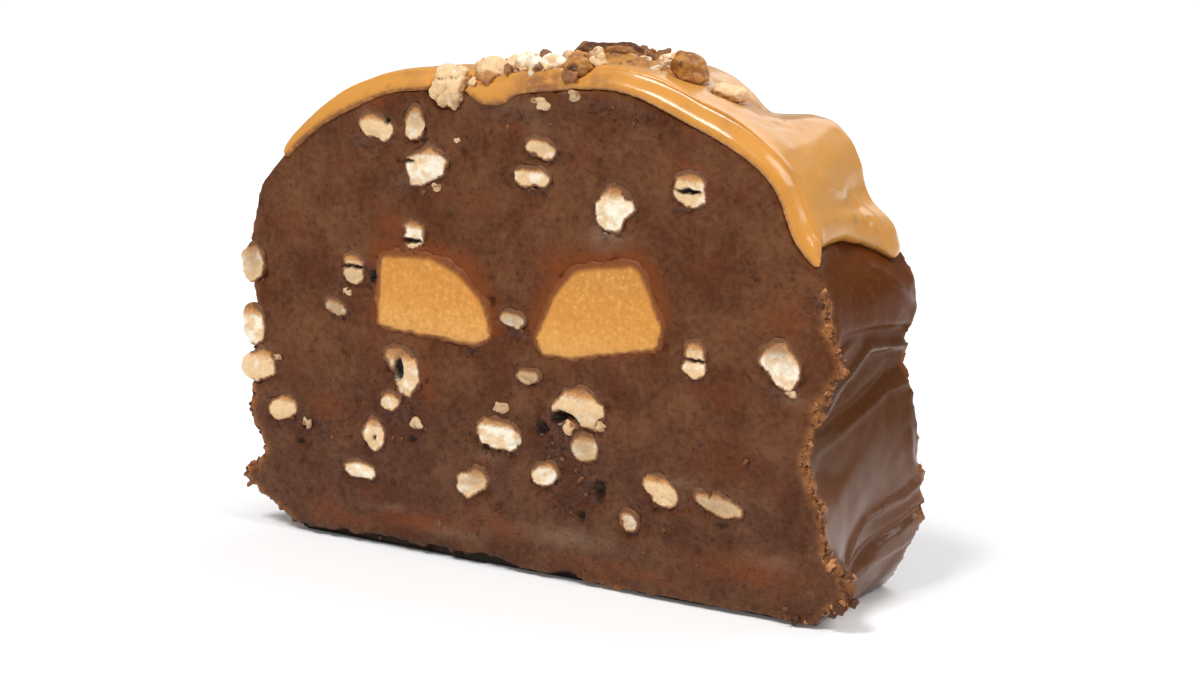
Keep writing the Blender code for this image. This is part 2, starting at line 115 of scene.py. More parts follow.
# The stage: the camera, the lights' places in metres, and the softboxes' shares of power and sizes.
CAMERA_PLACE = (234.5 * MM, -379.5 * MM, 143.9 * MM)
SENSOR_WIDTH = 36
LIT_PLACE = (0, 0, 40 * MM)
SUN_PLACE = (-0.15, -0.45, 0.88)
SUN_WIDTH = math.radians(20)
SOFTBOXES = (
    ("top", (0.16, 0.3, 0.6), 1.0, 0.32, 0.32),
    ("back", (-0.08, 0.75, 0.5), 0.5, 0.42, 0.42),
    ("strip", (0.5, -0.1, 0.72), 0.7, 0.05, 0.5),
    ("right", (0.8, -0.06, 0.28), 0.4, 0.16, 0.16),
)
SKY_COLOUR = (0.97, 0.985, 1.0, 1)
FLOOR_REACH = 3
FLOOR_GAP = 0.05 * MM
FLOOR_TONES = ((0.93, 0.93, 0.93), (0.95, 0.95, 0.95))

# Dull or smeared parts of the nuts: x, height, half width and half height, in mm, and strength.
DULL_PATCHES = (
    (-35.7, 37.8, 4.0, 3.0, 1.0),
    (-3.0, 39.8, 3.5, 2.5, 0.8),
    (-0.2, 31.2, 3.5, 2.0, 0.9),
    (42.2, 41.0, 3.2, 2.0, 0.9),
    (9.6, 21.6, 3.5, 4.0, 0.7),
    (32.4, 16.4, 5.0, 3.0, 0.8),
    (-20.1, 68.8, 2.0, 2.0, 0.6),
    (-10.4, 14.3, 3.0, 2.5, 0.6),
    (2.2, 66.6, 3.0, 1.6, 0.3),
    (-51.6, 44.1, 2.0, 3.5, 0.9),
    (-32.2, 43.2, 3.0, 1.2, 0.5),
    (17.6, 11.6, 2.0, 2.4, 0.5),
)

# Small bits of nut pressed into the front cut: x, height and size across and up, in mm.
NUT_BITS = (
    (2.2, 72.8, 3.4, 2.6),
    (8.0, 74.4, 2.2, 1.7),
    (-41.7, 18.1, 2.2, 2.4),
    (-20.9, 21.0, 2.2, 2.4),
    (-5.2, 25.6, 2.6, 2.2),
    (21.9, 7.1, 0.9, 2.4),
    (7.0, 24.4, 2.8, 2.4),
    (-16.4, 58.4, 1.8, 1.6),
    (44.2, 34.4, 2.0, 1.4),
    (-33.4, 40.4, 1.8, 1.3),
    (30.4, 8.8, 1.3, 1.0),
    (-12.6, 66.0, 1.2, 1.0),
    (-47.2, 28.2, 1.6, 1.3),
    (12.6, 25.2, 1.8, 1.6),
)

# Hollows in and beside the nuts of the front cut, sunk in and painted near-black inside as painted shade: x,
# height, half width, half height and depth, in mm.
HOLLOWS = (
    (-24.0, 29.2, 0.9, 1.7, 1.9),
    (6.0, 25.6, 1.7, 1.0, 2.4),
    (7.7, 24.7, 0.8, 0.7, 1.4),
    (-28.7, 17.5, 0.4, 0.4, 0.9),
    (-22.1, 62.0, 1.7, 0.3, 0.8),
    (-25.3, 67.8, 0.6, 0.6, 1.0),
    (26.9, 62.1, 2.2, 0.4, 1.3),
    (-21.1, 49.7, 1.8, 0.4, 1.2),
    (-32.2, 44.4, 2.0, 0.35, 1.1),
    (28.4, 37.3, 1.9, 0.3, 1.0),
    (-28.6, 43.2, 0.8, 0.8, 1.2),
    (-6.7, 42.1, 0.8, 0.8, 0.7),
    (-42.9, 14.8, 0.7, 0.4, 0.9),
    (-21.8, 18.2, 0.8, 0.4, 0.9),
    (-8.0, 19.2, 0.8, 0.3, 0.9),
    (21.8, 14.0, 1.1, 0.3, 0.8),
    (33.2, 13.1, 1.0, 0.25, 0.7),
    (1.8, 23.4, 0.8, 1.2, 1.0),
    (12.3, 15.2, 0.7, 1.6, 0.9),
    (9.2, 10.8, 0.6, 0.9, 0.8),
    (-10.0, 33.5, 0.9, 0.25, 0.6),
    (-18.7, 28.0, 0.35, 0.35, 0.8),
    (-13.0, 19.0, 0.6, 0.3, 0.6),
)

# Where fudge lies over the nuts' borders: x, height, half width and half height, in mm, and strength.
COVERED = (
    (31.0, 18.2, 0.5, 1.6, 1.0),
    (34.2, 18.4, 0.5, 1.4, 1.0),
    (27.6, 14.4, 1.6, 1.0, 1.0),
    (11.2, 60.6, 1.7, 1.6, 1.0),
    (17.2, 61.4, 1.7, 2.0, 1.0),
    (19.8, 15.2, 1.8, 1.4, 1.0),
    (25.0, 19.8, 1.7, 1.3, 1.0),
    (-49.4, 21.8, 2.0, 1.0, 1.0),
    (-44.2, 18.4, 0.8, 1.0, 0.8),
    (45.6, 41.2, 1.8, 1.8, 1.0),
    (38.6, 36.4, 1.2, 1.6, 0.9),
    (-30.8, 65.0, 1.4, 0.8, 1.0),
    (-25.8, 69.6, 1.0, 1.0, 0.9),
    (-22.6, 59.2, 1.4, 1.2, 1.0),
    (-23.0, 64.6, 1.2, 1.0, 0.9),
    (0.2, 65.2, 1.2, 0.6, 1.0),
    (3.6, 63.2, 1.0, 0.7, 0.8),
    (4.2, 29.2, 0.9, 0.7, 0.8),
    (12.8, 25.4, 1.4, 1.2, 0.9),
    (-26.9, 33.4, 1.0, 0.9, 0.9),
    (-31.0, 16.0, 0.8, 0.8, 1.0),
    (-26.6, 20.2, 0.8, 0.8, 1.0),
    (-31.0, 20.4, 0.6, 0.6, 0.8),
    (-12.6, 15.2, 1.2, 1.0, 1.0),
    (-8.4, 11.4, 1.0, 0.8, 0.8),
    (4.6, 14.8, 1.0, 0.8, 0.8),
    (-1.6, 20.0, 1.0, 0.5, 0.7),
)

# Rough, sticky patches of the front cut, as above.
TORN_PATCHES = (
    (4.5, 21.8, 3.6, 5.5, 1.0),
    (10.5, 15.8, 3.6, 3.6, 0.9),
    (6.5, 11.8, 3.5, 2.6, 0.7),
    (-30.0, 64.4, 2.2, 1.8, 0.8),
    (-20.4, 58.4, 3.6, 2.2, 0.8),
    (0.4, 59.8, 3.6, 1.0, 0.8),
    (14.6, 55.7, 3.6, 0.8, 0.8),
    (27.0, 59.4, 2.6, 0.8, 0.9),
    (-29.0, 42.4, 1.6, 2.2, 0.9),
    (-35.6, 41.2, 2.2, 1.6, 0.7),
    (-2.2, 37.8, 2.4, 2.2, 0.9),
    (-10.0, 33.5, 2.2, 0.7, 0.7),
    (-24.0, 22.8, 5.5, 6.5, 0.6),
    (-41.0, 17.3, 5.0, 2.6, 0.7),
    (-12.0, 23.3, 2.0, 4.0, 0.5),
    (-5.0, 18.8, 5.0, 1.4, 0.7),
    (24.0, 33.8, 3.0, 1.0, 0.4),
    (42.0, 34.0, 4.0, 1.2, 0.7),
    (14.0, 72.3, 9.0, 2.0, 0.6),
    (-3.0, 70.4, 5.0, 1.6, 0.7),
    (29.4, 24.6, 1.4, 0.9, 0.8),
    (38.5, 22.8, 2.0, 2.0, 0.5),
    (48.5, 49.8, 1.6, 4.5, 0.7),
    (21.0, 13.8, 3.0, 1.0, 0.5),
    (28.0, 11.2, 15.0, 1.7, 0.35),
    (-36.0, 20.0, 6.0, 4.0, 0.4),
)

# Orange-brown translucent patches, and pale greyish patches, partly smears and partly painted sheen, as
# above.
WARM_PATCHES = (
    (-11.0, 46.8, 3.0, 2.4, 0.7),
    (5.0, 48.4, 3.0, 3.0, 0.8),
    (21.0, 47.8, 2.0, 2.4, 0.7),
    (-24.0, 51.8, 5.0, 1.2, 0.6),
    (-6.4, 39.8, 1.2, 2.6, 0.7),
    (-19.0, 28.8, 1.8, 4.0, 0.5),
    (-38.0, 21.8, 4.0, 2.0, 0.5),
    (17.0, 57.4, 1.0, 1.2, 0.8),
    (-27.0, 70.6, 3.0, 1.0, 0.5),
    (-2.0, 68.3, 3.0, 0.8, 0.4),
    (27.0, 65.2, 2.8, 0.9, 0.7),
    (43.0, 44.8, 4.0, 5.0, 0.35),
    (34.0, 22.8, 6.0, 4.0, 0.3),
    (-20.0, 5.4, 8.0, 1.4, 0.9),
    (-5.0, 7.0, 6.0, 1.4, 0.7),
    (38.0, 7.4, 9.0, 2.2, 0.8),
    (-34.0, 4.0, 6.0, 1.2, 0.7),
    (18.0, 3.4, 9.0, 1.0, 0.5),
    (-45.0, 65.8, 2.0, 3.0, 0.5),
)
PALE_SMEAR_AND_SHEEN_PATCHES = (
    (13.5, 54.0, 3.4, 1.4, 0.8),
    (6.0, 7.0, 8.0, 1.5, 0.8),
    (-14.0, 4.4, 5.0, 0.9, 0.6),
    (-26.0, 6.6, 4.0, 0.6, 0.5),
    (42.0, 9.0, 4.0, 1.2, 0.5),
    (24.0, 18.6, 3.6, 0.6, 0.7),
    (1.6, 69.8, 3.5, 2.0, 0.3),
    (-1.6, 72.2, 6.0, 0.9, 0.4),
    (6.0, 75.6, 4.0, 0.8, 0.5),
    (-7.6, 17.8, 2.6, 0.9, 0.6),
    (44.0, 33.6, 2.0, 1.0, 0.5),
    (-20.0, 59.4, 3.0, 1.4, 0.35),
)

# Where the icing's front is smeared with fudge, as above.
SMEARED_ICING = ((2.4, 75.6, 5.4, 2.8, 1.0), (-14.0, 72.6, 3.0, 1.6, 0.8), (12.0, 77.0, 3.0, 0.8, 0.6))

# The nuts on the icing: how rough each is, in mm, and how tan its flesh or how dark its skin is.
TOP_LOOKS = {
    "top_walnut_01": (0.6, 0.5),
    "top_walnut_02": (0.15, 0.9),
    "top_walnut_03": (0.3, 0.15),
    "top_walnut_04": (0.3, 0.1),
    "top_pecan_05": (0.2, 0.5),
    "top_pecan_06": (0.15, 0.95),
    "top_pecan_07": (0.25, 0.3),
    "top_pecan_08": (0.2, 0.3),
    "top_walnut_09": (0.3, 0.6),
    "top_walnut_10": (0.35, 1.0),
    "top_pecan_11": (0.2, 1.0),
}
USUAL_TOP_LOOK = (0.3, 0.4)

# Folds of the outer skin: the wall's side, a line of depths and heights, half width and height, in mm.
SKIN_FOLDS = (
    (1, ((26, 37.2), (19, 38.4), (13.3, 39.2), (9.5, 37.4), (5.2, 35.2), (0.4, 31.1)), 0.8, 0.9),
    (1, ((26, 34.4), (19, 34.8), (12.3, 32.6), (5, 30.4), (0, 28.4)), 1.2, -0.8),
    (1, ((26, 32.0), (17, 32.2), (9, 29.2), (2, 25.8)), 0.6, 0.35),
    (1, ((26, 18.4), (19.7, 15.6), (11.9, 13.7), (5.7, 8.4)), 0.7, 0.7),
    (1, ((26, 14.2), (19, 11.2), (14, 9.4), (8.3, 6.2)), 0.9, -0.8),
    (1, ((26, 10.2), (20, 8.0), (13, 6.2)), 0.7, 0.4),
    (1, ((21.4, 24.8), (21.5, 20.8), (23.4, 18.2)), 0.8, 0.4),
    (1, ((-2, 51.4), (1, 53.2), (5, 54.0), (9, 54.2)), 0.8, 0.6),
    (1, ((25, 39.8), (17, 40.8), (6, 42.2), (1, 40.8)), 1.0, -0.8),
    (1, ((24, 43.4), (19, 46.6), (15, 50.4)), 0.9, 0.4),
    (-1, ((2, 39.2), (12, 33.4), (26, 29.8)), 0.8, 0.7),
    (-1, ((2, 35.8), (12, 30.6), (26, 27.2)), 1.2, -0.9),
    (-1, ((6, 17.2), (16, 13.4), (26, 12.2)), 0.8, 0.6),
    (-1, ((5, 14.2), (16, 10.6), (26, 9.4)), 1.1, -0.8),
    (-1, ((26, 47.4), (17, 44.8), (8, 46.8), (2, 49.8)), 0.9, 0.5),
)

# Folds of the icing, as above, on its right-hand and left-hand slopes.
ICING_FOLDS = (
    (1, ((0.9, 75.3), (0.9, 68.8), (0.8, 60.8), (0.8, 52.8)), 1.0, 0.35),
    (1, ((3.6, 73.8), (3.4, 68.8), (3.6, 62.8), (4.2, 56.8)), 1.5, -0.2),
    (1, ((6, 72.3), (12, 70.4), (14, 71.8), (20, 71.4)), 0.3, -0.22),
    (1, ((9, 64.6), (12, 62.2), (14, 61.6)), 0.8, 0.35),
    (1, ((17.4, 59.8), (17.8, 56.2), (18.4, 52.8)), 0.8, 0.6),
    (1, ((6, 56.4), (12, 56.2), (16, 54.8)), 0.9, 0.35),
    (-1, ((6, 68.8), (12, 66.8), (20, 68.8)), 1.0, 0.3),
)


def shade(red, green, blue):
    """A screen colour from 0 to 255 as the linear colour that shaders take."""
    levels = [level / 255 for level in (red, green, blue)]
    return tuple(((c + 0.055) / 1.055) ** 2.4 if c > 0.04045 else c / 12.92 for c in levels)


def colour_property(name, description, colour):
    """A colour that the sidebar shows."""
    limits = {"subtype": "COLOR", "min": 0, "max": 1}
    return FloatVectorProperty(name=name, description=description, default=colour, **limits)


def length_property(name, description, length):
    """A length that the sidebar shows."""
    return FloatProperty(name=name, description=description, default=length, unit="LENGTH", precision=5)


def angle_property(name, description, degrees):
    """An angle that the sidebar shows."""
    return FloatProperty(name=name, description=description, default=math.radians(degrees), unit="ROTATION")


class FudgeSettings(PropertyGroup):
    """The fudge's mesh and colours."""

    spacing: length_property("Mesh spacing", "Size of the fudge's faces", 0.54 * MM)
    cut: colour_property("Cut", "Colour of the cut fudge", shade(84, 47, 26))
    # Also used to make the skin paler low down, where it is partly painted sheen.
    smear: colour_property("Smear", "Lighter colour where the knife smeared the cut", shade(116, 74, 48))
    reddish: colour_property("Reddish", "Redder blotches of the cut", shade(112, 56, 32))
    # Also painted into the pits of the cut, where it is painted shade.
    torn: colour_property("Torn", "Dark, sticky colour of rough patches", shade(84, 40, 18))
    warm: colour_property("Warm", "Orange-brown where caramel shines through", shade(132, 66, 26))
    # Partly greyish smears, partly painted sheen, most of all in the band along the foot.
    pale_smear_and_sheen: colour_property("Pale", "Greyish smears of nut and caramel", shade(148, 116, 92))
    # Painted shade: the near-black painted inside the hollows.
    hollow_shade: colour_property("Hollow", "Colour inside the hollows", shade(30, 14, 6))
    # Painted shade: the dark colour painted on the drawn-back foot, for the shadow under the overhang.
    foot_shade: colour_property("Foot", "Colour of the drawn-back foot", shade(44, 28, 18))
    skin: colour_property("Skin", "Colour of the glossy outer skin", shade(84, 50, 26))
    skin_warm: colour_property("Warm skin", "Redder colour of parts of the skin", shade(92, 44, 10))
    rim: colour_property("Rim", "Colour of the crumbly edges", shade(176, 114, 66))
    crumb_light: colour_property("Light crumb", "Palest crumbs", shade(200, 140, 88))
    crumbs: IntProperty(name="Crumbs", description="Crumbs along the edges", default=640)
    foot_crumbs: IntProperty(name="Foot crumbs", description="Larger crumbs at the right foot", default=30)
    grains: IntProperty(name="Grains", description="Grains on the cuts", default=450)


class IcingSettings(PropertyGroup):
    """The icing's and the caramels' mesh and colours."""

    spacing: length_property("Mesh spacing", "Size of the icing's faces", 0.38 * MM)
    icing: colour_property("Icing", "Colour of the caramel icing", shade(200, 141, 64))
    icing_warm: colour_property("Warm icing", "More golden tone near the front edge", shade(213, 146, 58))
    icing_deep: colour_property("Deep icing", "Darker, browner tone of the icing", shade(182, 124, 56))
    blotch: colour_property("Blotch", "Dull greenish blotches of the icing", shade(150, 116, 62))
    stain: colour_property("Stain", "Brown where the icing meets the fudge", shade(142, 88, 48))
    caramel: colour_property("Caramel", "Colour of the caramels", shade(218, 146, 64))
    caramel_light: colour_property("Light caramel", "Paler specks of the caramels", shade(244, 190, 112))
    caramel_edge: colour_property("Caramel edge", "Browned border of the caramels", shade(128, 70, 30))


class NutSettings(PropertyGroup):
    """The nuts' mesh and colours."""

    spacing: length_property("Mesh spacing", "Size of the nuts' faces", 0.24 * MM)
    lobe: length_property("Lobe", "Size of a nut's lobes", 3.6 * MM)
    crumbs: IntProperty(name="Crumbs", description="Crumbs of nut on the icing", default=110)
    flesh: colour_property("Flesh", "Colour of the broken nuts", shade(255, 244, 222))
    flesh_warm: colour_property("Warm flesh", "Tan tone of the nuts", shade(236, 190, 130))
    toasted: colour_property("Toasted", "Brown tone towards the top of the nuts", shade(196, 132, 68))
    dull: colour_property("Dull flesh", "Nuts smeared with fudge", shade(158, 128, 96))
    fringe: colour_property("Fringe", "Fudge over the nuts' borders", shade(118, 74, 44))
    crease: colour_property("Crease", "Brown in the nuts' creases", shade(140, 84, 40))
    pecan: colour_property("Pecan skin", "Brown skin of the pecans", shade(146, 92, 36))
    pecan_light: colour_property("Light pecan skin", "Golden skin of the pecans", shade(190, 132, 62))
    pecan_dark: colour_property("Dark pecan skin", "Darkest pecan skin", shade(84, 44, 16))


class StageSettings(PropertyGroup):
    """The stage's light and the camera."""

    focal: FloatProperty(name="Focal length", description="Lens, in mm on a 36 mm sensor", default=90)
    azimuth: angle_property("Azimuth", "Camera's turn", 31.15)
    elevation: angle_property("Elevation", "Camera's tilt", 13.75)
    key: FloatProperty(name="Key light", description="Strength of the main light", default=2.1)
    softbox: FloatProperty(name="Softbox", description="Power of the softboxes", default=1.5, unit="POWER")
    sky: FloatProperty(name="Sky", description="Strength of the light all round", default=0.34)
    floor_glow: FloatProperty(name="Floor glow", description="The floor's own light", default=0.06)


class SliceSettings(PropertyGroup):
    """All of the slice's settings."""

    fudge: PointerProperty(type=FudgeSettings)
    icing: PointerProperty(type=IcingSettings)
    nut: PointerProperty(type=NutSettings)
    stage: PointerProperty(type=StageSettings)


class Wire:
    """A socket of a node tree, with maths on it written as Python expressions."""

    def __init__(self, recipe, socket):
        self.recipe = recipe
        self.socket = socket

    def __add__(self, other):
        return self.recipe.maths("ADD", self, other)

    def __radd__(self, other):
        return self.recipe.maths("ADD", other, self)

    def __sub__(self, other):
        return self.recipe.maths("SUBTRACT", self, other)

    def __rsub__(self, other):
        return self.recipe.maths("SUBTRACT", other, self)

    def __mul__(self, other):
        return self.recipe.maths("MULTIPLY", self, other)

    def __rmul__(self, other):
        return self.recipe.maths("MULTIPLY", other, self)

    def most(self, other):
        """The larger of the two."""
        return self.recipe.maths("MAXIMUM", self, other)

    def between(self, low, high):
        """0 below low and 1 above high, with a smooth step from one to the other."""
        inputs = {"Value": self, "From Min": low, "From Max": high}
        return self.recipe.node("ShaderNodeMapRange", {"interpolation_type": "SMOOTHSTEP"}, inputs)


class Recipe:
    """A material, and the nodes that it is made of."""

    def __init__(self, name):
        self.material = bpy.data.materials.new(name)
        self.material.use_nodes = True
        self.tree = self.material.node_tree
        self.tree.nodes.clear()
        self.place = self.node("ShaderNodeTexCoord", output="Object")

    def node(self, kind, settings=(), inputs=(), output=0):
        """Adds a node, sets it up, fills or links its sockets, and returns one of its outputs."""
        made = self.tree.nodes.new(kind)
        for key, value in dict(settings).items():
            setattr(made, key, value)
        for key, value in dict(inputs).items():
            if isinstance(value, Wire):
                self.tree.links.new(value.socket, made.inputs[key])
            else:
                made.inputs[key].default_value = value
        return Wire(self, made.outputs[output])

    def maths(self, operation, *values):
        """One sum, product or the like of wires and numbers."""
        return self.node("ShaderNodeMath", {"operation": operation}, dict(enumerate(values)))

    def mix(self, mask, low, high):
        """The low colour where the mask is 0 and the high one where it is 1."""
        low, high = (c if isinstance(c, Wire) else (*c, 1) for c in (low, high))
        return self.node("ShaderNodeMix", {"data_type": "RGBA"}, {0: mask, 6: low, 7: high}, output=2)

    def mark(self, name):
        """A number that the mesh carries at each of its points."""
        return self.node("ShaderNodeAttribute", {"attribute_name": name}, output="Fac")

    def height(self):
        """The height above the floor."""
        return self.node("ShaderNodeSeparateXYZ", inputs={"Vector": self.place}, output="Z")

    def scaled_place(self, size, stretch, shift):
        """The place on the piece counted in this size, stretched along some axes, and shifted."""
        scale = [1 / (size * s) for s in stretch]
        place = self.node("ShaderNodeVectorMath", {"operation": "MULTIPLY"}, {0: self.place, 1: scale})
        return self.node("ShaderNodeVectorMath", {"operation": "ADD"}, {0: place, 1: (shift, shift, shift)})

    def noise(self, size, detail=2.0, stretch=(1, 1, 1), shift=0.0, roughness=0.5):
        """Cloudy noise around 0.5 with blotches of this size."""
        place = self.scaled_place(size, stretch, shift)
        inputs = {"Vector": place, "Scale": 1.0, "Detail": detail, "Roughness": roughness}
        return self.node("ShaderNodeTexNoise", inputs=inputs, output="Fac")

    def cells(self, size, shift=0.0):
        """The distance to the nearest of a scatter of points about this far apart, counted in that size."""
        place = self.scaled_place(size, (1, 1, 1), shift)
        return self.node("ShaderNodeTexVoronoi", inputs={"Vector": place, "Scale": 1.0})

    def bump(self, height, distance, under=None, strength=1.0):
        """A normal raised by this distance where the height is 1, over another one."""
        inputs = {"Height": height, "Distance": distance, "Strength": strength}
        if under:
            inputs["Normal"] = under
        return self.node("ShaderNodeBump", inputs=inputs)

    def finish(self, **inputs):
        """Ends the material as one Principled surface, its sockets given by their names in lower case."""
        names = {key: key.replace("_", " ").title().replace("Ior", "IOR") for key in inputs}
        inputs = {names[key]: value for key, value in inputs.items()}
        surface = self.node("ShaderNodeBsdfPrincipled", inputs=inputs)
        end = self.tree.nodes.new("ShaderNodeOutputMaterial")
        self.tree.links.new(surface.socket, end.inputs["Surface"])
        return self.material


SMOOTHING_STEP = 0.6


class Sculpt:
    """A mesh's points and normals as arrays, moved together and written back."""

    def __init__(self, mesh):
        self.mesh = mesh
        self.count = len(mesh.vertices)
        self.points = np.empty(self.count * 3)
        mesh.vertices.foreach_get("co", self.points)
        self.points = self.points.reshape(-1, 3)
        edges = np.empty(len(mesh.edges) * 2, int)
        mesh.edges.foreach_get("vertices", edges)
        self.edges = edges.reshape(-1, 2)
        self.write()

    def write(self):
        """Writes the points to the mesh and reads its normals again."""
        self.mesh.vertices.foreach_set("co", self.points.ravel())
        self.mesh.update()
        normals = np.empty(self.count * 3)
        self.mesh.vertex_normals.foreach_get("vector", normals)
        self.normals = normals.reshape(-1, 3)

    def smooth(self, rounds, share=1.0):
        """Evens the surface out, by a share that may differ from point to point."""
        one, other = self.edges.T
        links = np.bincount(one, minlength=self.count) + np.bincount(other, minlength=self.count)
        share = np.broadcast_to(share, self.count)[:, None] * SMOOTHING_STEP
        for _ in range(rounds):
            total = np.empty_like(self.points)
            for i in range(3):
                column = self.points[:, i]
                total[:, i] = np.bincount(one, column[other], self.count)
                total[:, i] += np.bincount(other, column[one], self.count)
            self.points += (total / links[:, None] - self.points) * share
        self.write()

    def push(self, amount):
        """Moves each point along its normal."""
        self.points += self.normals * np.asarray(amount).reshape(-1, 1)
        self.write()

    def dents(self, rounds, depth):
        """How far each point lies below the evened-out surface, 1 at this depth."""
        sharp = self.points.copy()
        normals = self.normals
        self.smooth(rounds)
        sunk = ((self.points - sharp) * normals).sum(axis=1)
        self.points = sharp
        self.write()
        return sunk / depth

    def mark(self, name, values):
        """Keeps a number from 0 to 1 at each point, for the material."""
        attribute = self.mesh.attributes.new(name, "FLOAT", "POINT")
        attribute.data.foreach_set("value", np.asarray(values, dtype=np.float32).clip(0, 1))


def settings():
    """The slice's settings in the sidebar."""
    return bpy.context.scene.fudge_slice


def ramp(values, low, high):
    """0 below low and 1 above high, with a smooth step between, for arrays."""
    share = ((np.asarray(values) - low) / (high - low)).clip(0, 1)
    return share * share * (3 - 2 * share)


def bell(values, reach, steepness=1):
    """1 where the values are 0, falling to 0 beyond this reach, more suddenly when steeper."""
    return np.exp(-(((values / reach) ** 2) ** steepness))


def lumps(points, size, seed=0, octaves=1):
    """Smooth noise of about -1 to 1 at each point, with lumps of this size."""
    shift = Vector((seed * 3.7, seed * 1.3, seed * 5.1))
    scale = 1 / size
    if octaves == 1:
        values = [noise.noise(Vector(p) * scale + shift) for p in points.tolist()]
    else:
        values = [noise.fractal(Vector(p) * scale + shift, 0.9, 2.1, octaves) for p in points.tolist()]
    return np.array(values)


def cell_gaps(points, size, seed=0):
    """How far each point is from the border of a cell of about this size, and from the cell's middle."""
    shift = Vector((seed * 2.3, seed * 4.1, seed * 1.7))
    scale = 1 / size
    found = [noise.voronoi(Vector(p) * scale + shift)[0][:2] for p in points.tolist()]
    nearest, second = np.array(found).T
    return second - nearest, nearest


def near_line(places, line):
    """Each place's distance to a line of points in the same plane."""
    nearest = np.full(len(places), np.inf)
    for start, end in zip(np.array(line[:-1]), np.array(line[1:])):
        run = end - start
        share = ((places - start) @ run / (run @ run)).clip(0, 1)
        nearest = np.minimum(nearest, np.linalg.norm(places - start - share[:, None] * run, axis=1))
    return nearest


def fold_relief(points, folds):
    """How far the folds raise each point, by the side, depth and height that it lies at."""
    places = np.column_stack([points[:, 1] + HALF_THICKNESS, points[:, 2]]) / MM
    relief = np.zeros(len(points))
    for side, line, half_width, height in folds:
        there = ramp(points[:, 0] * side, 12 * MM, 20 * MM)
        relief += there * height * MM * bell(near_line(places, line), half_width)
    return relief


def solid_tree(names):
    """A search tree over the faces of some solids."""
    verts, faces = [], []
    for name in names:
        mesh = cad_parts[name].data
        start = len(verts)
        verts += [v.co.copy() for v in mesh.vertices]
        faces += [[start + i for i in polygon.vertices] for polygon in mesh.polygons]
    return BVHTree.FromPolygons(verts, faces)


def nearness(points, tree, reach):
    """Each point's distance to a tree's faces, at most reach, and how far above (1) or below (-1) it is."""
    far = np.full(len(points), reach)
    rise = np.zeros(len(points))
    for i, point in enumerate(points.tolist()):
        place, _, _, distance = tree.find_nearest(point, reach)
        if place is not None:
            far[i] = distance
            rise[i] = (point[2] - place.z) / max(distance, 0.01 * MM)
    return far, rise


def add_object(name, data):
    """A new object in the scene, made of a mesh, a light or a camera."""
    made = bpy.data.objects.new(name, data)
    bpy.context.scene.collection.objects.link(made)
    return made


def from_solid(node, name, spacing):
    """A copy of a solid's mesh as a new piece, with even faces of this size."""
    bm = bmesh.new()
    bm.from_mesh(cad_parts[node].data)
    bmesh.ops.remove_doubles(bm, verts=bm.verts, dist=0.001 * MM)
    mesh = bpy.data.meshes.new(name)
    bm.to_mesh(mesh)
    bm.free()
    piece = add_object(name, mesh)
    remesh = piece.modifiers.new("Even faces", "REMESH")
    remesh.mode = "VOXEL"
    remesh.voxel_size = spacing
    graph = bpy.context.evaluated_depsgraph_get()
    graph.update()
    piece.data = bpy.data.meshes.new_from_object(piece.evaluated_get(graph))
    piece.modifiers.clear()
    piece.data.name = name
    return piece


def dress(piece, material, slot, *nodes):
    """Gives a piece its material and its place in the frame, standing for the named solids."""
    piece.data.materials.clear()
    piece.data.materials.append(material)
    piece.data.shade_smooth()
    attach(piece, "root")
    if nodes:
        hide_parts(*nodes)
    return piece


def joined(name, parts):
    """One piece of many lumps, each given by its points and its faces."""
    verts, faces = [], []
    for points, polygons in parts:
        faces += (polygons + len(verts)).tolist()
        verts += points.tolist()
    mesh = bpy.data.meshes.new(name)
    mesh.from_pydata(verts, [], faces)
    return add_object(name, mesh)


def scattered(name, places, shapes, lightest=1.0):
    """One piece of many small lumps, and the random shade of each of its points, the same all over a lump.

    The places are pairs of a point and a size.
    """
    parts, shades = [], []
    rng = random.Random(name)
    for point, size in places:
        points, polygons = shapes[rng.randrange(len(shapes))]
        turn = Euler([rng.uniform(0, math.tau) for _ in range(3)]).to_matrix()
        stretch = np.array([rng.uniform(0.5, 1.5) for _ in range(3)]) * size / 2
        parts.append(((points * stretch) @ np.array(turn) + point, polygons))
        shades += [rng.random() * lightest] * len(points)
    return joined(name, parts), np.array(shades)


def lump_shapes(count, detail, roughness, seed):
    """Some rough unit lumps, each as arrays of its points and faces."""
    shapes = []
    for i in range(count):
        bm = bmesh.new()
        bmesh.ops.create_icosphere(bm, subdivisions=detail, radius=1)
        shift = Vector((seed + i * 9.1, i * 3.3, seed))
        verts = [v.co * (1 + roughness * noise.noise(v.co * 1.3 + shift)) for v in bm.verts]
        faces = [[v.index for v in f.verts] for f in bm.faces]
        bm.free()
        shapes.append((np.array(verts), np.array(faces)))
    return shapes


def cut_colour(recipe, colours, blotch, grain, low):
    """The brown of the cut, lighter where the knife smeared it and darker in its grain."""
    red = recipe.noise(6 * MM, 3, shift=13).between(0.5, 0.72)
    smear = recipe.noise(2.4 * MM, 3, stretch=(1.3, 1, 1.7), shift=7)
    light = smear.between(0.4, 0.75) * 0.4 + blotch.between(0.42, 0.66) * 0.5
    light = light + grain.between(0.35, 0.65) * 0.45
    colour = recipe.mix(light, colours.cut, colours.smear)
    colour = recipe.mix(red * 0.45, colour, colours.reddish)
    colour = recipe.mix(blotch.between(0.46, 0.3) * 0.5, colour, colours.torn)
    return recipe.mix(grain.between(0.46, 0.28) * (0.08 + low * 0.26), colour, colours.torn)


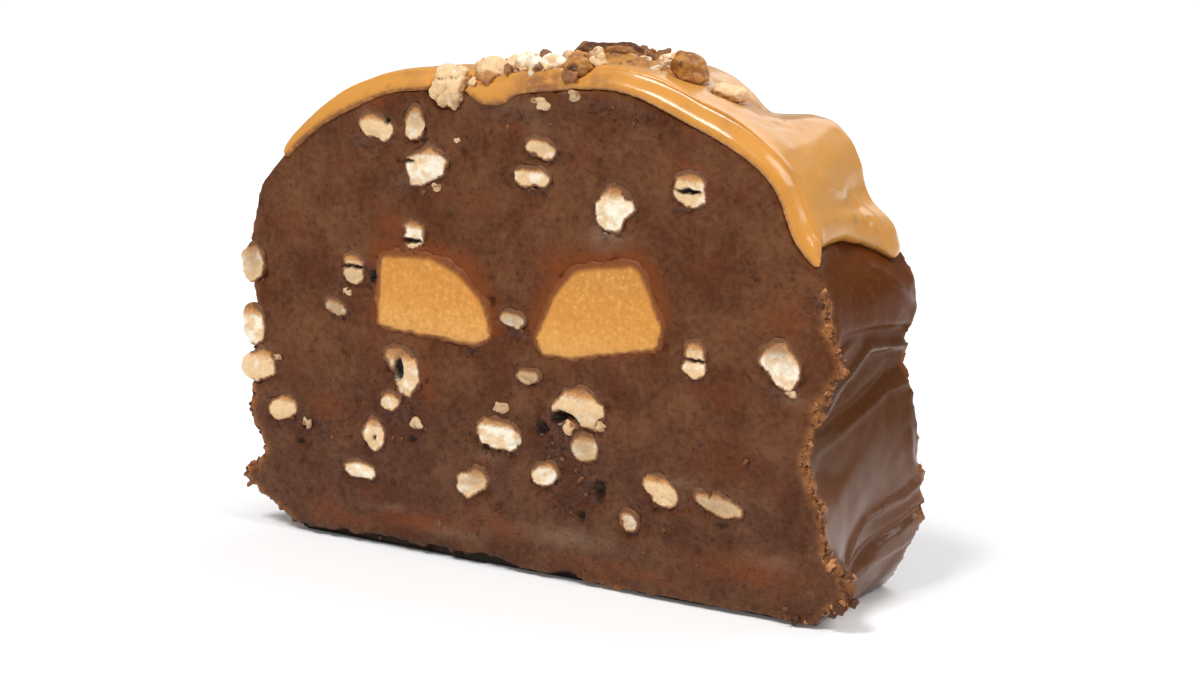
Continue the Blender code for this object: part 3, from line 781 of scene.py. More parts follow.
def skin_colour(recipe, colours, blotch, grain):
    """The darker brown of the outer skin, warmer high up, and paler low down, partly its own tone and partly
    painted sheen.
    """
    height = recipe.height()
    warm = blotch.between(0.42, 0.68) * 0.4 + height.between(33 * MM, 43 * MM) * 0.6
    colour = recipe.mix(warm, colours.skin, colours.skin_warm)
    # Paler low down: partly the skin's own tone, partly painted sheen.
    colour = recipe.mix(height.between(30 * MM, 14 * MM) * 0.5, colour, colours.smear)
    colour = recipe.mix(grain.between(0.5, 0.72) * 0.25, colour, colours.smear)
    return recipe.mix(grain.between(0.46, 0.32) * 0.4, colour, colours.torn)


def fudge_material():
    """The cut fudge and its skin, mixed by the marks on the mesh."""
    colours = settings().fudge
    recipe = Recipe("fudge")
    cut, rim, torn = recipe.mark("cut"), recipe.mark("rim"), recipe.mark("torn")
    blotch = recipe.noise(8 * MM, 3)
    grain = recipe.noise(1.0 * MM, 3, shift=21, roughness=0.6)
    fine = recipe.noise(0.5 * MM, 3, shift=3, roughness=0.7)
    low = 1 - recipe.height().between(11 * MM, 37 * MM) * 0.7
    pocked = recipe.noise(3 * MM, 2, shift=11).between(0.5, 0.66) * 0.4 * cut
    # The pits are dents of the bump, painted darker with the torn colour: painted shade in them.
    pits = recipe.cells(0.9 * MM).between(0.4, 0.15) * torn.most(pocked)
    face = cut_colour(recipe, colours, blotch, grain, low)
    colour = recipe.mix(cut, skin_colour(recipe, colours, blotch, grain), face)
    colour = recipe.mix((torn * fine.between(0.2, 0.6) * 0.75).most(pits), colour, colours.torn)
    colour = recipe.mix(recipe.mark("warm") * 0.85, colour, colours.warm)
    # Pale patches: partly greyish smears, partly painted sheen.
    colour = recipe.mix(recipe.mark("pale_smear_and_sheen") * (0.45 + fine * 0.5), colour, colours.pale_smear_and_sheen)
    colour = recipe.mix(rim * fine.between(0.2, 0.55), colour, colours.rim)
    # Painted shade inside the hollows.
    colour = recipe.mix(recipe.mark("hollow_shade"), colour, colours.hollow_shade)
    # Painted shade along the drawn-back foot.
    colour = recipe.mix(recipe.mark("foot_shade"), colour, colours.foot_shade)
    gloss = recipe.mark("gloss")
    dull = cut.most(rim)
    dry = 0.58 - torn * 0.14 - low * 0.08 + (fine - 0.5) * 0.3
    wet = 0.36 + (recipe.noise(3 * MM, 2, shift=5) - 0.5) * 0.2 - gloss * 0.1
    coat = (0.05 + gloss * 0.85) * (1 - dull) + (torn * 0.5).most(low * 0.26) * dull
    normal = recipe.bump(fine * low * cut - pits, 0.55 * MM)
    normal = recipe.bump(grain * (cut * low + 0.07), 0.6 * MM, normal)
    return recipe.finish(
        base_color=colour,
        roughness=wet + (dry - wet) * dull,
        normal=normal,
        coat_weight=coat,
        coat_roughness=0.22,
        ior=1.12,
        subsurface_weight=0.05,
        subsurface_radius=(1.0, 0.4, 0.2),
        subsurface_scale=1.0 * MM,
    )


def crumb_material():
    """The crumbs and grains of fudge, each between the cut's brown and the edges' tan."""
    colours = settings().fudge
    recipe = Recipe("crumbs")
    fine = recipe.noise(0.4 * MM, 2)
    level = recipe.mark("shade")
    colour = recipe.mix(level.between(0.1, 1.0) * 0.9, colours.cut, colours.rim)
    colour = recipe.mix(level.between(0.7, 1.0) * fine.between(0.25, 0.6), colour, colours.crumb_light)
    return recipe.finish(
        base_color=colour,
        roughness=0.55 + (fine - 0.5) * 0.3,
        normal=recipe.bump(fine, 0.15 * MM),
        specular_ior_level=0.3,
        subsurface_weight=0.08,
        subsurface_scale=0.8 * MM,
    )


def icing_material():
    """The glossy icing, duller on the left and stained where it meets the fudge."""
    colours = settings().icing
    recipe = Recipe("icing")
    deep = recipe.noise(6 * MM, 3).between(0.48, 0.75)
    colour = recipe.mix(recipe.mark("bead"), colours.icing, colours.icing_warm)
    colour = recipe.mix(deep * 0.6, colour, colours.icing_deep)
    spotted = recipe.noise(9 * MM, 1, shift=8).between(0.5, 0.62)
    spots = recipe.cells(3.4 * MM, shift=4).between(0.26, 0.1) * spotted
    colour = recipe.mix(spots * 0.5, colour, colours.blotch)
    stain = recipe.mark("stain") * recipe.noise(1.2 * MM, 3, shift=6).between(0.2, 0.6)
    colour = recipe.mix(stain, colour, colours.stain)
    matte = recipe.mark("matte")
    return recipe.finish(
        base_color=colour,
        roughness=0.24 + recipe.noise(2 * MM, 2, shift=9) * 0.12 + stain * 0.25 + matte * 0.25,
        normal=recipe.bump(recipe.noise(1.8 * MM, 2, shift=8), 0.1 * MM, strength=0.6),
        coat_weight=0.4 - matte * 0.35,
        coat_roughness=0.1,
        specular_ior_level=0.4,
        subsurface_weight=0.2,
        subsurface_radius=(1.0, 0.5, 0.2),
        subsurface_scale=1.4 * MM,
    )


def caramel_material():
    """The soft caramels, grainy and browned at their borders."""
    colours = settings().icing
    recipe = Recipe("caramel")
    edge = recipe.mark("edge")
    fine = recipe.noise(0.8 * MM, 4, roughness=0.7)
    drag = recipe.noise(1.0 * MM, 2, stretch=(1, 1, 5), shift=12).between(0.5, 0.75)
    cloudy = recipe.noise(4 * MM, 2, shift=3).between(0.35, 0.75)
    colour = recipe.mix(cloudy * 0.5, colours.caramel, colours.icing_warm)
    height = recipe.height()
    colour = recipe.mix(height.between(42 * MM, 35 * MM) * 0.35, colour, colours.caramel_light)
    colour = recipe.mix(height.between(42 * MM, 50 * MM) * 0.4, colour, colours.icing_deep)
    colour = recipe.mix(drag * 0.12, colour, colours.caramel_light)
    colour = recipe.mix(fine.between(0.5, 0.7) * 0.5, colour, colours.caramel_light)
    colour = recipe.mix(fine.between(0.47, 0.3) * 0.5, colour, colours.icing_deep)
    dark_specks = recipe.cells(0.9 * MM, shift=2).between(0.2, 0.08)
    colour = recipe.mix(dark_specks * 0.6, colour, colours.icing_deep)
    light_specks = recipe.cells(1.3 * MM, shift=5).between(0.14, 0.04)
    colour = recipe.mix(light_specks * 0.6, colour, colours.caramel_light)
    colour = recipe.mix((edge + (fine - 0.5) * 0.7).between(0.15, 1.0), colour, colours.caramel_edge)
    return recipe.finish(
        base_color=colour,
        roughness=0.5 - edge * 0.15,
        normal=recipe.bump(fine, 0.2 * MM),
        specular_ior_level=0.25,
        subsurface_weight=0.12,
        subsurface_radius=(1.0, 0.5, 0.2),
        subsurface_scale=1.0 * MM,
    )


def nut_material():
    """The flesh of the nuts, toasted above and smeared with fudge at their borders."""
    colours = settings().nut
    recipe = Recipe("nut_flesh")
    fine = recipe.noise(0.45 * MM, 3, shift=1, roughness=0.6)
    patch = recipe.noise(1.8 * MM, 2, shift=4)
    crown = recipe.mark("crown")
    tan = (patch + recipe.mark("tan") * 0.5).between(0.42, 0.7) * 0.8
    colour = recipe.mix(tan, colours.flesh, colours.flesh_warm)
    colour = recipe.mix((crown + (fine - 0.5) * 0.6).between(0.25, 0.75) * 0.9, colour, colours.toasted)
    colour = recipe.mix((crown + (patch - 0.5) * 0.6).between(0.72, 1.05) * 0.8, colour, colours.fringe)
    colour = recipe.mix(recipe.mark("dull") * (0.45 + fine * 0.6), colour, colours.dull)
    creased = (recipe.mark("dent") + (fine - 0.5) * 0.3).between(0.3, 0.9)
    colour = recipe.mix(creased * 0.8, colour, colours.crease)
    border = recipe.mark("fringe") + (fine - 0.5) * 0.8
    colour = recipe.mix(border.between(0.0, 0.6) * 0.65, colour, colours.toasted)
    colour = recipe.mix(border.between(0.35, 1.0), colour, colours.fringe)
    # Painted shade inside the hollows of the nuts.
    colour = recipe.mix(recipe.mark("hollow_shade"), colour, settings().fudge.hollow_shade)
    return recipe.finish(
        base_color=colour,
        roughness=0.45 + (fine - 0.5) * 0.25,
        normal=recipe.bump(fine, 0.24 * MM),
        specular_ior_level=0.35,
        subsurface_weight=0.15,
        subsurface_radius=(1.0, 0.7, 0.4),
        subsurface_scale=1.0 * MM,
    )


def nut_skin_material():
    """The furrowed skin of the pecans, and their flesh where it is broken."""
    colours = settings().nut
    recipe = Recipe("nut_skin")
    fine = recipe.noise(0.6 * MM, 3, stretch=(2, 1, 1))
    golden = recipe.noise(2.6 * MM, 2, shift=2).between(0.4, 0.66)
    colour = recipe.mix(golden, colours.pecan, colours.pecan_light)
    colour = recipe.mix(recipe.mark("dent").between(0.3, 1.0), colour, colours.pecan_dark)
    colour = recipe.mix(recipe.mark("dark") * fine.between(0.1, 0.5), colour, colours.pecan_dark)
    colour = recipe.mix(recipe.mark("broken") * fine.between(0.2, 0.5), colour, colours.flesh_warm)
    return recipe.finish(
        base_color=colour,
        roughness=0.4 + (fine - 0.5) * 0.25,
        normal=recipe.bump(fine, 0.14 * MM),
        specular_ior_level=0.35,
        subsurface_weight=0.05,
        subsurface_scale=0.8 * MM,
    )


def patch_field(points, patches, sharp=1):
    """How strongly some patches of the front cut act at each point, with a sharper or softer border."""
    field = np.zeros(len(points))
    front = ramp(-points[:, 1], HALF_THICKNESS - 3 * MM, HALF_THICKNESS - 1 * MM)
    for x, z, half_x, half_z, strength in patches:
        across = (points[:, 0] / MM - x) / half_x
        up = (points[:, 2] / MM - z) / half_z
        field = np.maximum(field, strength * np.exp(-((across**2 + up**2) ** sharp)))
    return field * front


def ragged(points, size, amount, seed=0):
    """The points, shifted about in the plane of the cut, so that a patch read there has a ragged border."""
    moved = points.copy()
    moved[:, 0] += amount * lumps(points, size, seed, 2)
    moved[:, 2] += amount * lumps(points, size, seed + 1, 2)
    return moved


def sink_hollows(clay):
    """Presses the hollows into the front and returns how far in one each point is, the mask for the shade
    painted in them.
    """
    deep = patch_field(ragged(clay.points, 0.9 * MM, 0.3 * MM, 90), HOLLOWS, 2)
    clay.points[:, 1] += deep * HOLLOW_SHARE * MM
    clay.write()
    return np.minimum(deep, 1)


class MakeFudge(Operator):
    """Makes the cut fudge with its glossy skin, its rough edges and its grain"""

    bl_idname = "fudge.make_fudge"
    bl_label = "Fudge"

    def execute(self, context):
        piece = from_solid(FUDGE, "fudge_slice", settings().fudge.spacing)
        clay = Sculpt(piece.data)
        start = clay.points.copy()
        to_nut, nut_rise = nearness(start, solid_tree(CUT_NUTS), 4 * MM)
        to_caramel, caramel_rise = nearness(start, solid_tree(CARAMELS), 5 * MM)
        to_icing, _ = nearness(start, solid_tree([ICING]), 4 * MM)
        inset = HALF_THICKNESS - np.abs(start[:, 1])
        socket = (to_nut < 0.8 * MM) | (to_caramel < 0.9 * MM)
        facing = np.abs(clay.normals[:, 1])
        cut = np.where(socket, 1.0, ramp(facing, 0.55, 0.8) * ramp(inset, 1.6 * MM, 0.8 * MM))
        off_floor = ramp(start[:, 2], 0.3 * MM, 1.5 * MM)
        clay.smooth(40, (1 - cut) * ramp(inset, 0.5 * MM, 1.5 * MM) * off_floor)
        clay.smooth(2, cut)
        self.meet(clay, to_nut, to_caramel)
        corner = (facing > 0.35) & (facing < 0.9) & (inset < 0.9 * MM) & ~socket
        rim = self.closeness(start, start[corner], 0.8 * MM) * self.rim_strength(start)
        near_nut = bell(to_nut, 1.0 * MM)
        wander = ragged(start, 1.6 * MM, 0.9 * MM, 40)
        torn = 0.9 * near_nut * ramp(nut_rise, 0.2, -0.6)
        torn = np.maximum(patch_field(wander, TORN_PATCHES, 1.5), torn) * cut
        # The hollows' mask carries the shade painted in them.
        hollow_shade = sink_hollows(clay)
        # The undercut's mask carries the painted shade at the foot.
        foot_shade = self.undercut(clay)
        self.shape(clay, cut, rim, torn, to_nut)
        front = start[:, 1] < -HALF_THICKNESS + 3 * MM
        smear = 0.3 * near_nut * ramp(nut_rise, -0.2, 0.7) * ramp(to_nut, 1.2 * MM, 0.2 * MM) * front
        marks = {
            "cut": cut,
            "rim": rim,
            "torn": torn,
            "hollow_shade": hollow_shade,
            "foot_shade": foot_shade,
            "warm": self.warmth(start, to_caramel, caramel_rise, to_icing) * cut,
            "pale_smear_and_sheen": np.maximum(patch_field(wander, PALE_SMEAR_AND_SHEEN_PATCHES), smear) * cut,
            "gloss": self.gloss(start),
        }
        for name, values in marks.items():
            clay.mark(name, values)
        dress(piece, fudge_material(), "fudge", FUDGE)
        self.scatter(clay, cut, rim, torn)
        return {"FINISHED"}

    @staticmethod
    def closeness(points, targets, reach):
        """1 at the targets, falling to 0 a few times this reach away."""
        tree = KDTree(len(targets))
        for i, target in enumerate(targets.tolist()):
            tree.insert(target, i)
        tree.balance()
        far = np.array([tree.find(p)[2] for p in points.tolist()])
        return bell(far, reach)

    @staticmethod
    def meet(clay, to_nut, to_caramel):
        """Closes the gap round the nuts and the caramels a little."""
        share = ramp(np.minimum(to_nut, to_caramel), 0.9 * MM, 0.3 * MM)
        clay.push(share * (1 - ramp(np.abs(clay.normals[:, 1]), 0.8, 1.0)) * 0.25 * MM)

    @staticmethod
    def rim_strength(points):
        """How crumbly an edge is: most at the right of the front and low down, and not under the icing."""
        x, y, z = points.T
        below_icing = ramp(z, 53 * MM, 48 * MM)
        left_low = 0.25 + 0.65 * ramp(z, 30 * MM, 25 * MM)
        front = np.where(x > 0, 1.0, left_low) * below_icing
        back = 0.45 * below_icing * ramp(lumps(points, 9 * MM, 46), -0.3, 0.3)
        floor_edge = 0.4 + 0.6 * ramp(lumps(points, 6 * MM, 47), 0.0, 0.4)
        return np.where(y < 0, front, back) * np.where((z < 3 * MM) & (x > -42 * MM), floor_edge, 1.0)

    @staticmethod
    def undercut(clay):
        """Draws the foot of both cuts back, unevenly, and returns how far each point belongs to it, the mask
        for the shade painted there.
        """
        x, y, z = clay.points.T
        height = 1.1 + 1.2 * lumps(clay.points, 7 * MM, 48) + 0.6 * lumps(clay.points, 2 * MM, 49)
        height += 0.6 * ramp(x, -6 * MM, -20 * MM)
        height = np.maximum(height * (1 - 0.5 * ramp(x, 4 * MM, 12 * MM)), 0.1)
        height = np.maximum(height * ramp(x, -48 * MM, -43 * MM), 0.01) * MM
        under = ramp(z / height, 1.15, 0.75) * ramp(HALF_THICKNESS - np.abs(y), 3 * MM, 1 * MM)
        clay.points[:, 1] -= np.sign(y) * under * FOOT_SETBACK * MM
        clay.write()
        return under

    @staticmethod
    def warmth(points, to_caramel, caramel_rise, to_icing):
        """How orange-brown each point is: in patches, at the icing and round the caramels."""
        reach = 1.1 + 1.3 * ramp(caramel_rise, -0.2, 0.5) + 0.6 * lumps(points, 3 * MM, 43)
        halo = bell(to_caramel, np.maximum(reach, 0.3) * MM)
        halo *= 0.2 + 0.8 * ramp(caramel_rise, -0.4, 0.3)
        patches = patch_field(ragged(points, 3 * MM, 1.2 * MM, 44), WARM_PATCHES)
        icing = 0.8 * bell(to_icing, 0.7 * MM) * ramp(lumps(points, 1.5 * MM, 45, 2), -0.8, 0.4)
        return np.maximum(np.maximum(patches, halo), icing)

    @staticmethod
    def gloss(points):
        """How wet the skin looks: on its folds, low down and at the back of its bulge, in streaks."""
        x, y, z = points.T
        folds = ramp(fold_relief(points, SKIN_FOLDS) / MM, 0.1, 0.6)
        low = 1.1 * ramp(z, 31 * MM, 17 * MM)
        bulge = 0.3 * ramp(z, 39 * MM, 42 * MM) * ramp(y, 5 * MM, 10 * MM)
        slanted = np.stack([x, 0.3 * y, z - 0.9 * y], axis=1)
        streaks = 0.65 + 0.9 * lumps(slanted, 4 * MM, 51)
        return np.maximum(np.maximum(folds, low), bulge) * streaks

    @staticmethod
    def shape(clay, cut, rim, torn, to_nut):
        """Swells and folds the skin, gives the cuts their grain and pits, and crumbles their edges."""
        points, z = clay.points, clay.points[:, 2]
        skin = (1 - cut) * (1 - 0.6 * rim)
        swell = SKIN_SWELL * lumps(points, 7 * MM, 1) + SKIN_RIPPLE * lumps(points, 2.2 * MM, 2)
        relief = skin * (swell * MM + fold_relief(points, SKIN_FOLDS))
        low = 0.4 + 0.6 * ramp(z, 39 * MM, 11 * MM)
        grain = CUT_GRAIN * low * lumps(points, 1.5 * MM, 3, 3) + CUT_WAVE * lumps(points, 7 * MM, 5)
        relief += cut * grain * MM
        _, middles = cell_gaps(points, 2.4 * MM, 6)
        pits = ramp(middles, 0.34, 0.12) * ramp(lumps(points, 6 * MM, 7), -0.1, 0.2)
        relief -= cut * pits * CUT_PITS * MM
        relief += rim * (RIM_CRUMBLE * lumps(points, 1.2 * MM, 9, 3) + 0.05) * MM
        crumble = TORN_CRUMBLE * lumps(points, 1.1 * MM, 10, 2) - 0.3
        relief += torn * crumble * MM * ramp(to_nut, 0.1 * MM, 0.7 * MM)
        clay.push(relief * ramp(z, 0.2 * MM, 1.2 * MM))

    @staticmethod
    def scatter(clay, cut, rim, torn):
        """Makes crumbs along the cuts' edges, larger ones at the right foot, and grains on the cuts."""
        rng = random.Random(5)
        counts = settings().fudge
        x, y, z = clay.points.T
        chance = ramp(rim, 0.3, 0.8) * np.where(x > 30 * MM, 1.0, 0.5) * (z > 0.6 * MM)
        places = []
        for i in rng.choices(range(clay.count), chance.tolist(), k=counts.crumbs):
            size = rng.triangular(*EDGE_CRUMB_SIZES) * MM
            places.append((clay.points[i] - clay.normals[i] * 0.35 * size, size))
        chance *= ramp(x, 42 * MM, 48 * MM) * ramp(z, 12 * MM, 8 * MM) * (y < 0)
        for i in rng.choices(range(clay.count), chance.tolist(), k=counts.foot_crumbs):
            size = rng.triangular(*FOOT_CRUMB_SIZES) * MM
            places.append((np.maximum(clay.points[i], (-1, -1, size)), size))
        crumbs, shades = scattered("edge_crumbs", places, lump_shapes(14, 2, 1.1, 3))
        Sculpt(crumbs.data).mark("shade", shades)
        dress(crumbs, crumb_material(), "fudge")
        chance = cut * (0.002 + torn**2 + 0.02 * ramp(z, 15 * MM, 11 * MM)) * (z > 0.7 * MM)
        chosen = rng.choices(range(clay.count), chance.tolist(), k=counts.grains)
        places = [(clay.points[i], rng.triangular(*GRAIN_SIZES) * MM) for i in chosen]
        grains, shades = scattered("cut_grains", places, lump_shapes(8, 2, 1.0, 9), 0.6)
        Sculpt(grains.data).mark("shade", shades)
        dress(grains, crumb_material(), "fudge")


class MakeIcing(Operator):
    """Makes the glossy caramel icing over the top"""

    bl_idname = "fudge.make_icing"
    bl_label = "Icing"

    def execute(self, context):
        piece = from_solid(ICING, "icing_coat", settings().icing.spacing)
        clay = Sculpt(piece.data)
        clay.smooth(10)
        outward = clay.points - np.array([0, 0, 33 * MM])
        outward[:, 1] = 0
        outward /= np.linalg.norm(outward, axis=1)[:, None]
        inner = ramp(-(clay.normals * outward).sum(axis=1), 0.2, 0.7)
        clay.push(inner * ICING_PRESSED_IN * MM)
        relief = fold_relief(clay.points, ICING_FOLDS) + ICING_WAVE * MM * lumps(clay.points, 5 * MM, 21)
        clay.push((1 - inner) * relief)
        to_fudge, _ = nearness(clay.points, solid_tree([FUDGE]), 4 * MM)
        self.round_bead(clay, to_fudge)
        x, y, _ = clay.points.T
        smeared = patch_field(ragged(clay.points, 1.5 * MM, 0.8 * MM, 70), SMEARED_ICING)
        clay.mark("stain", np.maximum(ramp(to_fudge, 0.9 * MM, 0.35 * MM), smeared))
        clay.mark("bead", ramp(y, -HALF_THICKNESS + 6 * MM, -HALF_THICKNESS + 2 * MM))
        clay.mark("matte", ramp(x, 5 * MM, -12 * MM))
        dress(piece, icing_material(), "icing", ICING)
        return {"FINISHED"}

    @staticmethod
    def round_bead(clay, to_fudge):
        """Rounds the coat off at the cuts, more the further out, and lets it sag a little over the front."""
        x, y, _ = clay.points.T
        near_cut = ramp(HALF_THICKNESS - np.abs(y), 2.2 * MM, 0.2 * MM)
        out = ((to_fudge - 0.4 * MM) / (2.2 * MM)).clip(0, 1.2)
        clay.points[:, 1] -= np.sign(y) * near_cut * out**2 * BEAD_ROUNDING * MM
        front = ramp(-y, HALF_THICKNESS - 2 * MM, HALF_THICKNESS - 0.5 * MM)
        front *= ramp(to_fudge, 1.6 * MM, 0.5 * MM)
        sag = front * bell(x / MM - SAG_X, SAG_HALF_WIDTH, 2)
        clay.points[:, 2] -= sag * SAG_DROP * MM
        left_end = front * ramp(x, -22 * MM, -34 * MM)
        clay.points[:, 0] += left_end * LEFT_END_DRAW * MM
        clay.points[:, 2] -= left_end * LEFT_END_DROP * MM
        clay.points[:, 1] -= np.maximum(sag, left_end) * FRONT_SWELL * MM
        clay.write()
        clay.smooth(5)


class MakeCaramels(Operator):
    """Makes the two caramels, with soft browned borders"""

    bl_idname = "fudge.make_caramels"
    bl_label = "Caramels"

    def execute(self, context):
        tree = solid_tree([FUDGE])
        material = caramel_material()
        for node in CARAMELS:
            piece = from_solid(node, f"{node}_sweet", settings().icing.spacing)
            clay = Sculpt(piece.data)
            clay.smooth(4)
            side = 1 - ramp(np.abs(clay.normals[:, 1]), 0.4, 0.8)
            wavy = 0.4 * lumps(clay.points, 1.8 * MM, 31, 2)
            grain = 0.05 * lumps(clay.points, 0.9 * MM, 32, 2) + 0.05
            clay.push((side * (CARAMEL_SEAT + wavy) + grain) * MM)
            to_fudge, rise = nearness(clay.points, tree, 3 * MM)
            width = (0.6 + 1.0 * ramp(rise, 0.3, -0.6) + 0.5 * lumps(clay.points, 2 * MM, 33)) * MM
            clay.mark("edge", ramp(to_fudge, np.maximum(width, 0.3 * MM) + 0.25 * MM, 0.2 * MM))
            dress(piece, material, "caramel", node)
        return {"FINISHED"}


class MakeCutNuts(Operator):
    """Makes the broken nuts that the two cuts show"""

    bl_idname = "fudge.make_cut_nuts"
    bl_label = "Nuts in the cuts"

    def execute(self, context):
        flesh = nut_material()
        tree = solid_tree([FUDGE])
        for i, node in enumerate(CUT_NUTS):
            piece = from_solid(node, f"{node}_kernel", settings().nut.spacing)
            clay = Sculpt(piece.data)
            clay.smooth(5)
            self.seat(clay)
            clay.push(nut_relief(clay, CUT_NUT_RELIEF, i))
            to_fudge, _ = nearness(clay.points, tree, 3 * MM)
            covered = patch_field(ragged(clay.points, 1.0 * MM, 0.35 * MM, 95), COVERED, 1.5)
            clay.points[:, 1] += covered * COVER_DEPTH * MM
            clay.write()
            clay.mark("hollow_shade", sink_hollows(clay))
            clay.mark("dent", clay.dents(6, 0.22 * MM))
            clay.mark("dull", patch_field(clay.points, DULL_PATCHES))
            clay.mark("tan", np.full(clay.count, (i * 0.37) % 0.6))
            low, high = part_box(node)
            height = (clay.points[:, 2] - low.z) / (high.z - low.z)
            clay.mark("crown", ramp(height, 0.45, 1))
            width = (0.45 + 1.1 * ramp(height, 0.3, 1) + 0.6 * lumps(clay.points, 1.4 * MM, i + 50)) * MM
            border = ramp(to_fudge, np.maximum(width, 0.4 * MM), 0.2 * MM)
            clay.mark("fringe", np.maximum(border, ramp(covered, 0.25, 0.6)))
            dress(piece, flesh, "nut_flesh", node)
        return {"FINISHED"}

    @staticmethod
    def seat(clay):
        """Lets a nut fill its socket, and stand only a little proud of the cut."""
        y = clay.points[:, 1]
        side = 1 - ramp(np.abs(clay.normals[:, 1]), 0.5, 0.9)
        clay.push(side * NUT_SEAT * MM)
        proud = np.maximum(np.abs(y) - HALF_THICKNESS + 0.2 * MM, 0)
        clay.points[:, 1] -= np.sign(y) * proud * 0.55
        clay.write()


def nut_relief(clay, amount, seed):
    """The lumps, dimples and creases of a broken nut, by how far out each point goes, up to this many mm."""
    rough = lumps(clay.points, 1.7 * MM, seed) + 0.5 * lumps(clay.points, 0.7 * MM, seed + 5, 2)
    warp = np.column_stack([lumps(clay.points, 1.5 * MM, seed + j) for j in range(3)]) * 0.9 * MM
    gaps, _ = cell_gaps(clay.points + warp, settings().nut.lobe, seed)
    return amount * (rough + 0.25 - 0.7 * bell(gaps, 0.16)) * MM


def chop(clay, low, high, seed):
    """Cuts a nut's lumps off along a few flat faces, as a knife leaves them."""
    rng = random.Random(seed)
    middle = np.array((low + high) / 2)
    half = np.array((high - low) / 2)
    for _ in range(CHOPS):
        side = np.array([rng.gauss(0, 1) for _ in range(3)])
        side[2] = abs(side[2]) - 0.5
        side /= np.linalg.norm(side)
        reach = np.linalg.norm(side * half) * rng.uniform(*CHOP_REACH)
        beyond = np.maximum((clay.points - middle) @ side - reach, 0)
        clay.points -= beyond[:, None] * side * 0.9
    clay.write()


class MakeTopNuts(Operator):
    """Makes the chopped walnuts and pecans that lie on the icing"""

    bl_idname = "fudge.make_top_nuts"
    bl_label = "Nuts on the icing"

    def execute(self, context):
        flesh = nut_material()
        skin = nut_skin_material()
        tree = solid_tree([ICING])
        for i, node in enumerate(TOP_NUTS):
            piece = from_solid(node, f"{node}_piece", settings().nut.spacing)
            clay = Sculpt(piece.data)
            low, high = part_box(node)
            chop(clay, low, high, 60 + i)
            clay.smooth(4)
            roughness, tone = TOP_LOOKS.get(node, USUAL_TOP_LOOK)
            clay.push(nut_relief(clay, roughness, 60 + i))
            pecan = "pecan" in node
            if pecan:
                self.ridge(clay, i)
            clay.mark("dent", clay.dents(8, 0.25 * MM))
            rise = ramp(clay.points[:, 2], low.z, high.z)
            if pecan:
                dark = lumps(clay.points, 2.2 * MM, i, 2) + 1.4 * tone
                clay.mark("dark", ramp(dark, 0.9, 1.3))
                under = 0.5 * lumps(clay.points, 1.6 * MM, i + 1) - clay.normals[:, 2]
                clay.mark("broken", 0.8 * ramp(under + 0.5 * (1 - rise), 0.35, 0.6) * (tone < 0.4))
                dress(piece, skin, "nut_skin", node)
            else:
                to_icing, _ = nearness(clay.points, tree, 3 * MM)
                clay.mark("fringe", ramp(to_icing, 0.8 * MM, 0.3 * MM) * 0.6)
                clay.mark("crown", 0.45 * (1 - rise))
                clay.mark("tan", np.full(clay.count, tone))
                dress(piece, flesh, "nut_flesh", node)
        return {"FINISHED"}

    @staticmethod
    def ridge(clay, seed):
        """Gives a pecan its long furrows."""
        _, y, z = clay.points.T / MM
        wander = lumps(clay.points, 3 * MM, seed) * 1.4
        clay.push(FURROW_DEPTH * np.sin(y * math.tau / FURROW_WIDTH + z * 1.2 + wander) * MM)


class MakeNutBits(Operator):
    """Makes the small bits of nut that are pressed into the front cut"""

    bl_idname = "fudge.make_nut_bits"
    bl_label = "Bits of nut"

    def execute(self, context):
        parts = []
        shapes = lump_shapes(len(NUT_BITS), 4, 0.55, 17)
        for (x, z, across, up), (points, polygons) in zip(NUT_BITS, shapes):
            size = np.array([across, min(across, up), up]) / 2 * MM
            place = [x * MM, -HALF_THICKNESS + size[1] * 0.6, z * MM]
            parts.append((points * size + place, polygons))
        piece = joined("nut_bits", parts)
        clay = Sculpt(piece.data)
        clay.push(BIT_RELIEF * lumps(clay.points, 0.7 * MM, 3) * MM)
        clay.mark("dent", ramp(lumps(clay.points, 0.9 * MM, 3), 0.1, 0.6))
        clay.mark("dull", 0.35 + 0.5 * ramp(lumps(clay.points, 7 * MM, 4), -0.2, 0.4))
        clay.mark("tan", np.full(clay.count, 0.5))
        clay.mark("fringe", ramp(clay.points[:, 1], -HALF_THICKNESS - 0.1 * MM, -HALF_THICKNESS + 0.25 * MM))
        dress(piece, nut_material(), "nut_flesh")
        return {"FINISHED"}


class MakeTopCrumbs(Operator):
    """Makes the crumbs of nut between the nuts on the icing"""

    bl_idname = "fudge.make_top_crumbs"
    bl_label = "Crumbs of nut on the icing"

    def execute(self, context):
        coat = Sculpt(bpy.data.objects["icing_coat"].data)
        x = coat.points[:, 0]
        to_nut, _ = nearness(coat.points, solid_tree(TOP_NUTS), 5 * MM)
        chance = ramp(coat.normals[:, 2], 0.6, 0.85) * bell(to_nut, 1.8 * MM) * (to_nut > 0.2 * MM)
        chance *= ramp(x, -21 * MM, -16 * MM) * ramp(x, 22 * MM, 14 * MM)
        rng = random.Random(23)
        places = []
        for i in rng.choices(range(coat.count), chance.tolist(), k=settings().nut.crumbs):
            size = rng.triangular(*NUT_CRUMB_SIZES) * MM
            places.append((coat.points[i] + coat.normals[i] * 0.22 * size, size))
        crumbs, shades = scattered("nut_crumbs", places, lump_shapes(10, 3, 0.9, 31))
        clay = Sculpt(crumbs.data)
        clay.mark("tan", shades)
        clay.mark("crown", ramp(shades, 0.55, 0.8))
        clay.mark("dent", ramp(lumps(clay.points, 0.8 * MM, 7), 0.0, 0.6))
        dress(crumbs, nut_material(), "nut_flesh")
        return {"FINISHED"}


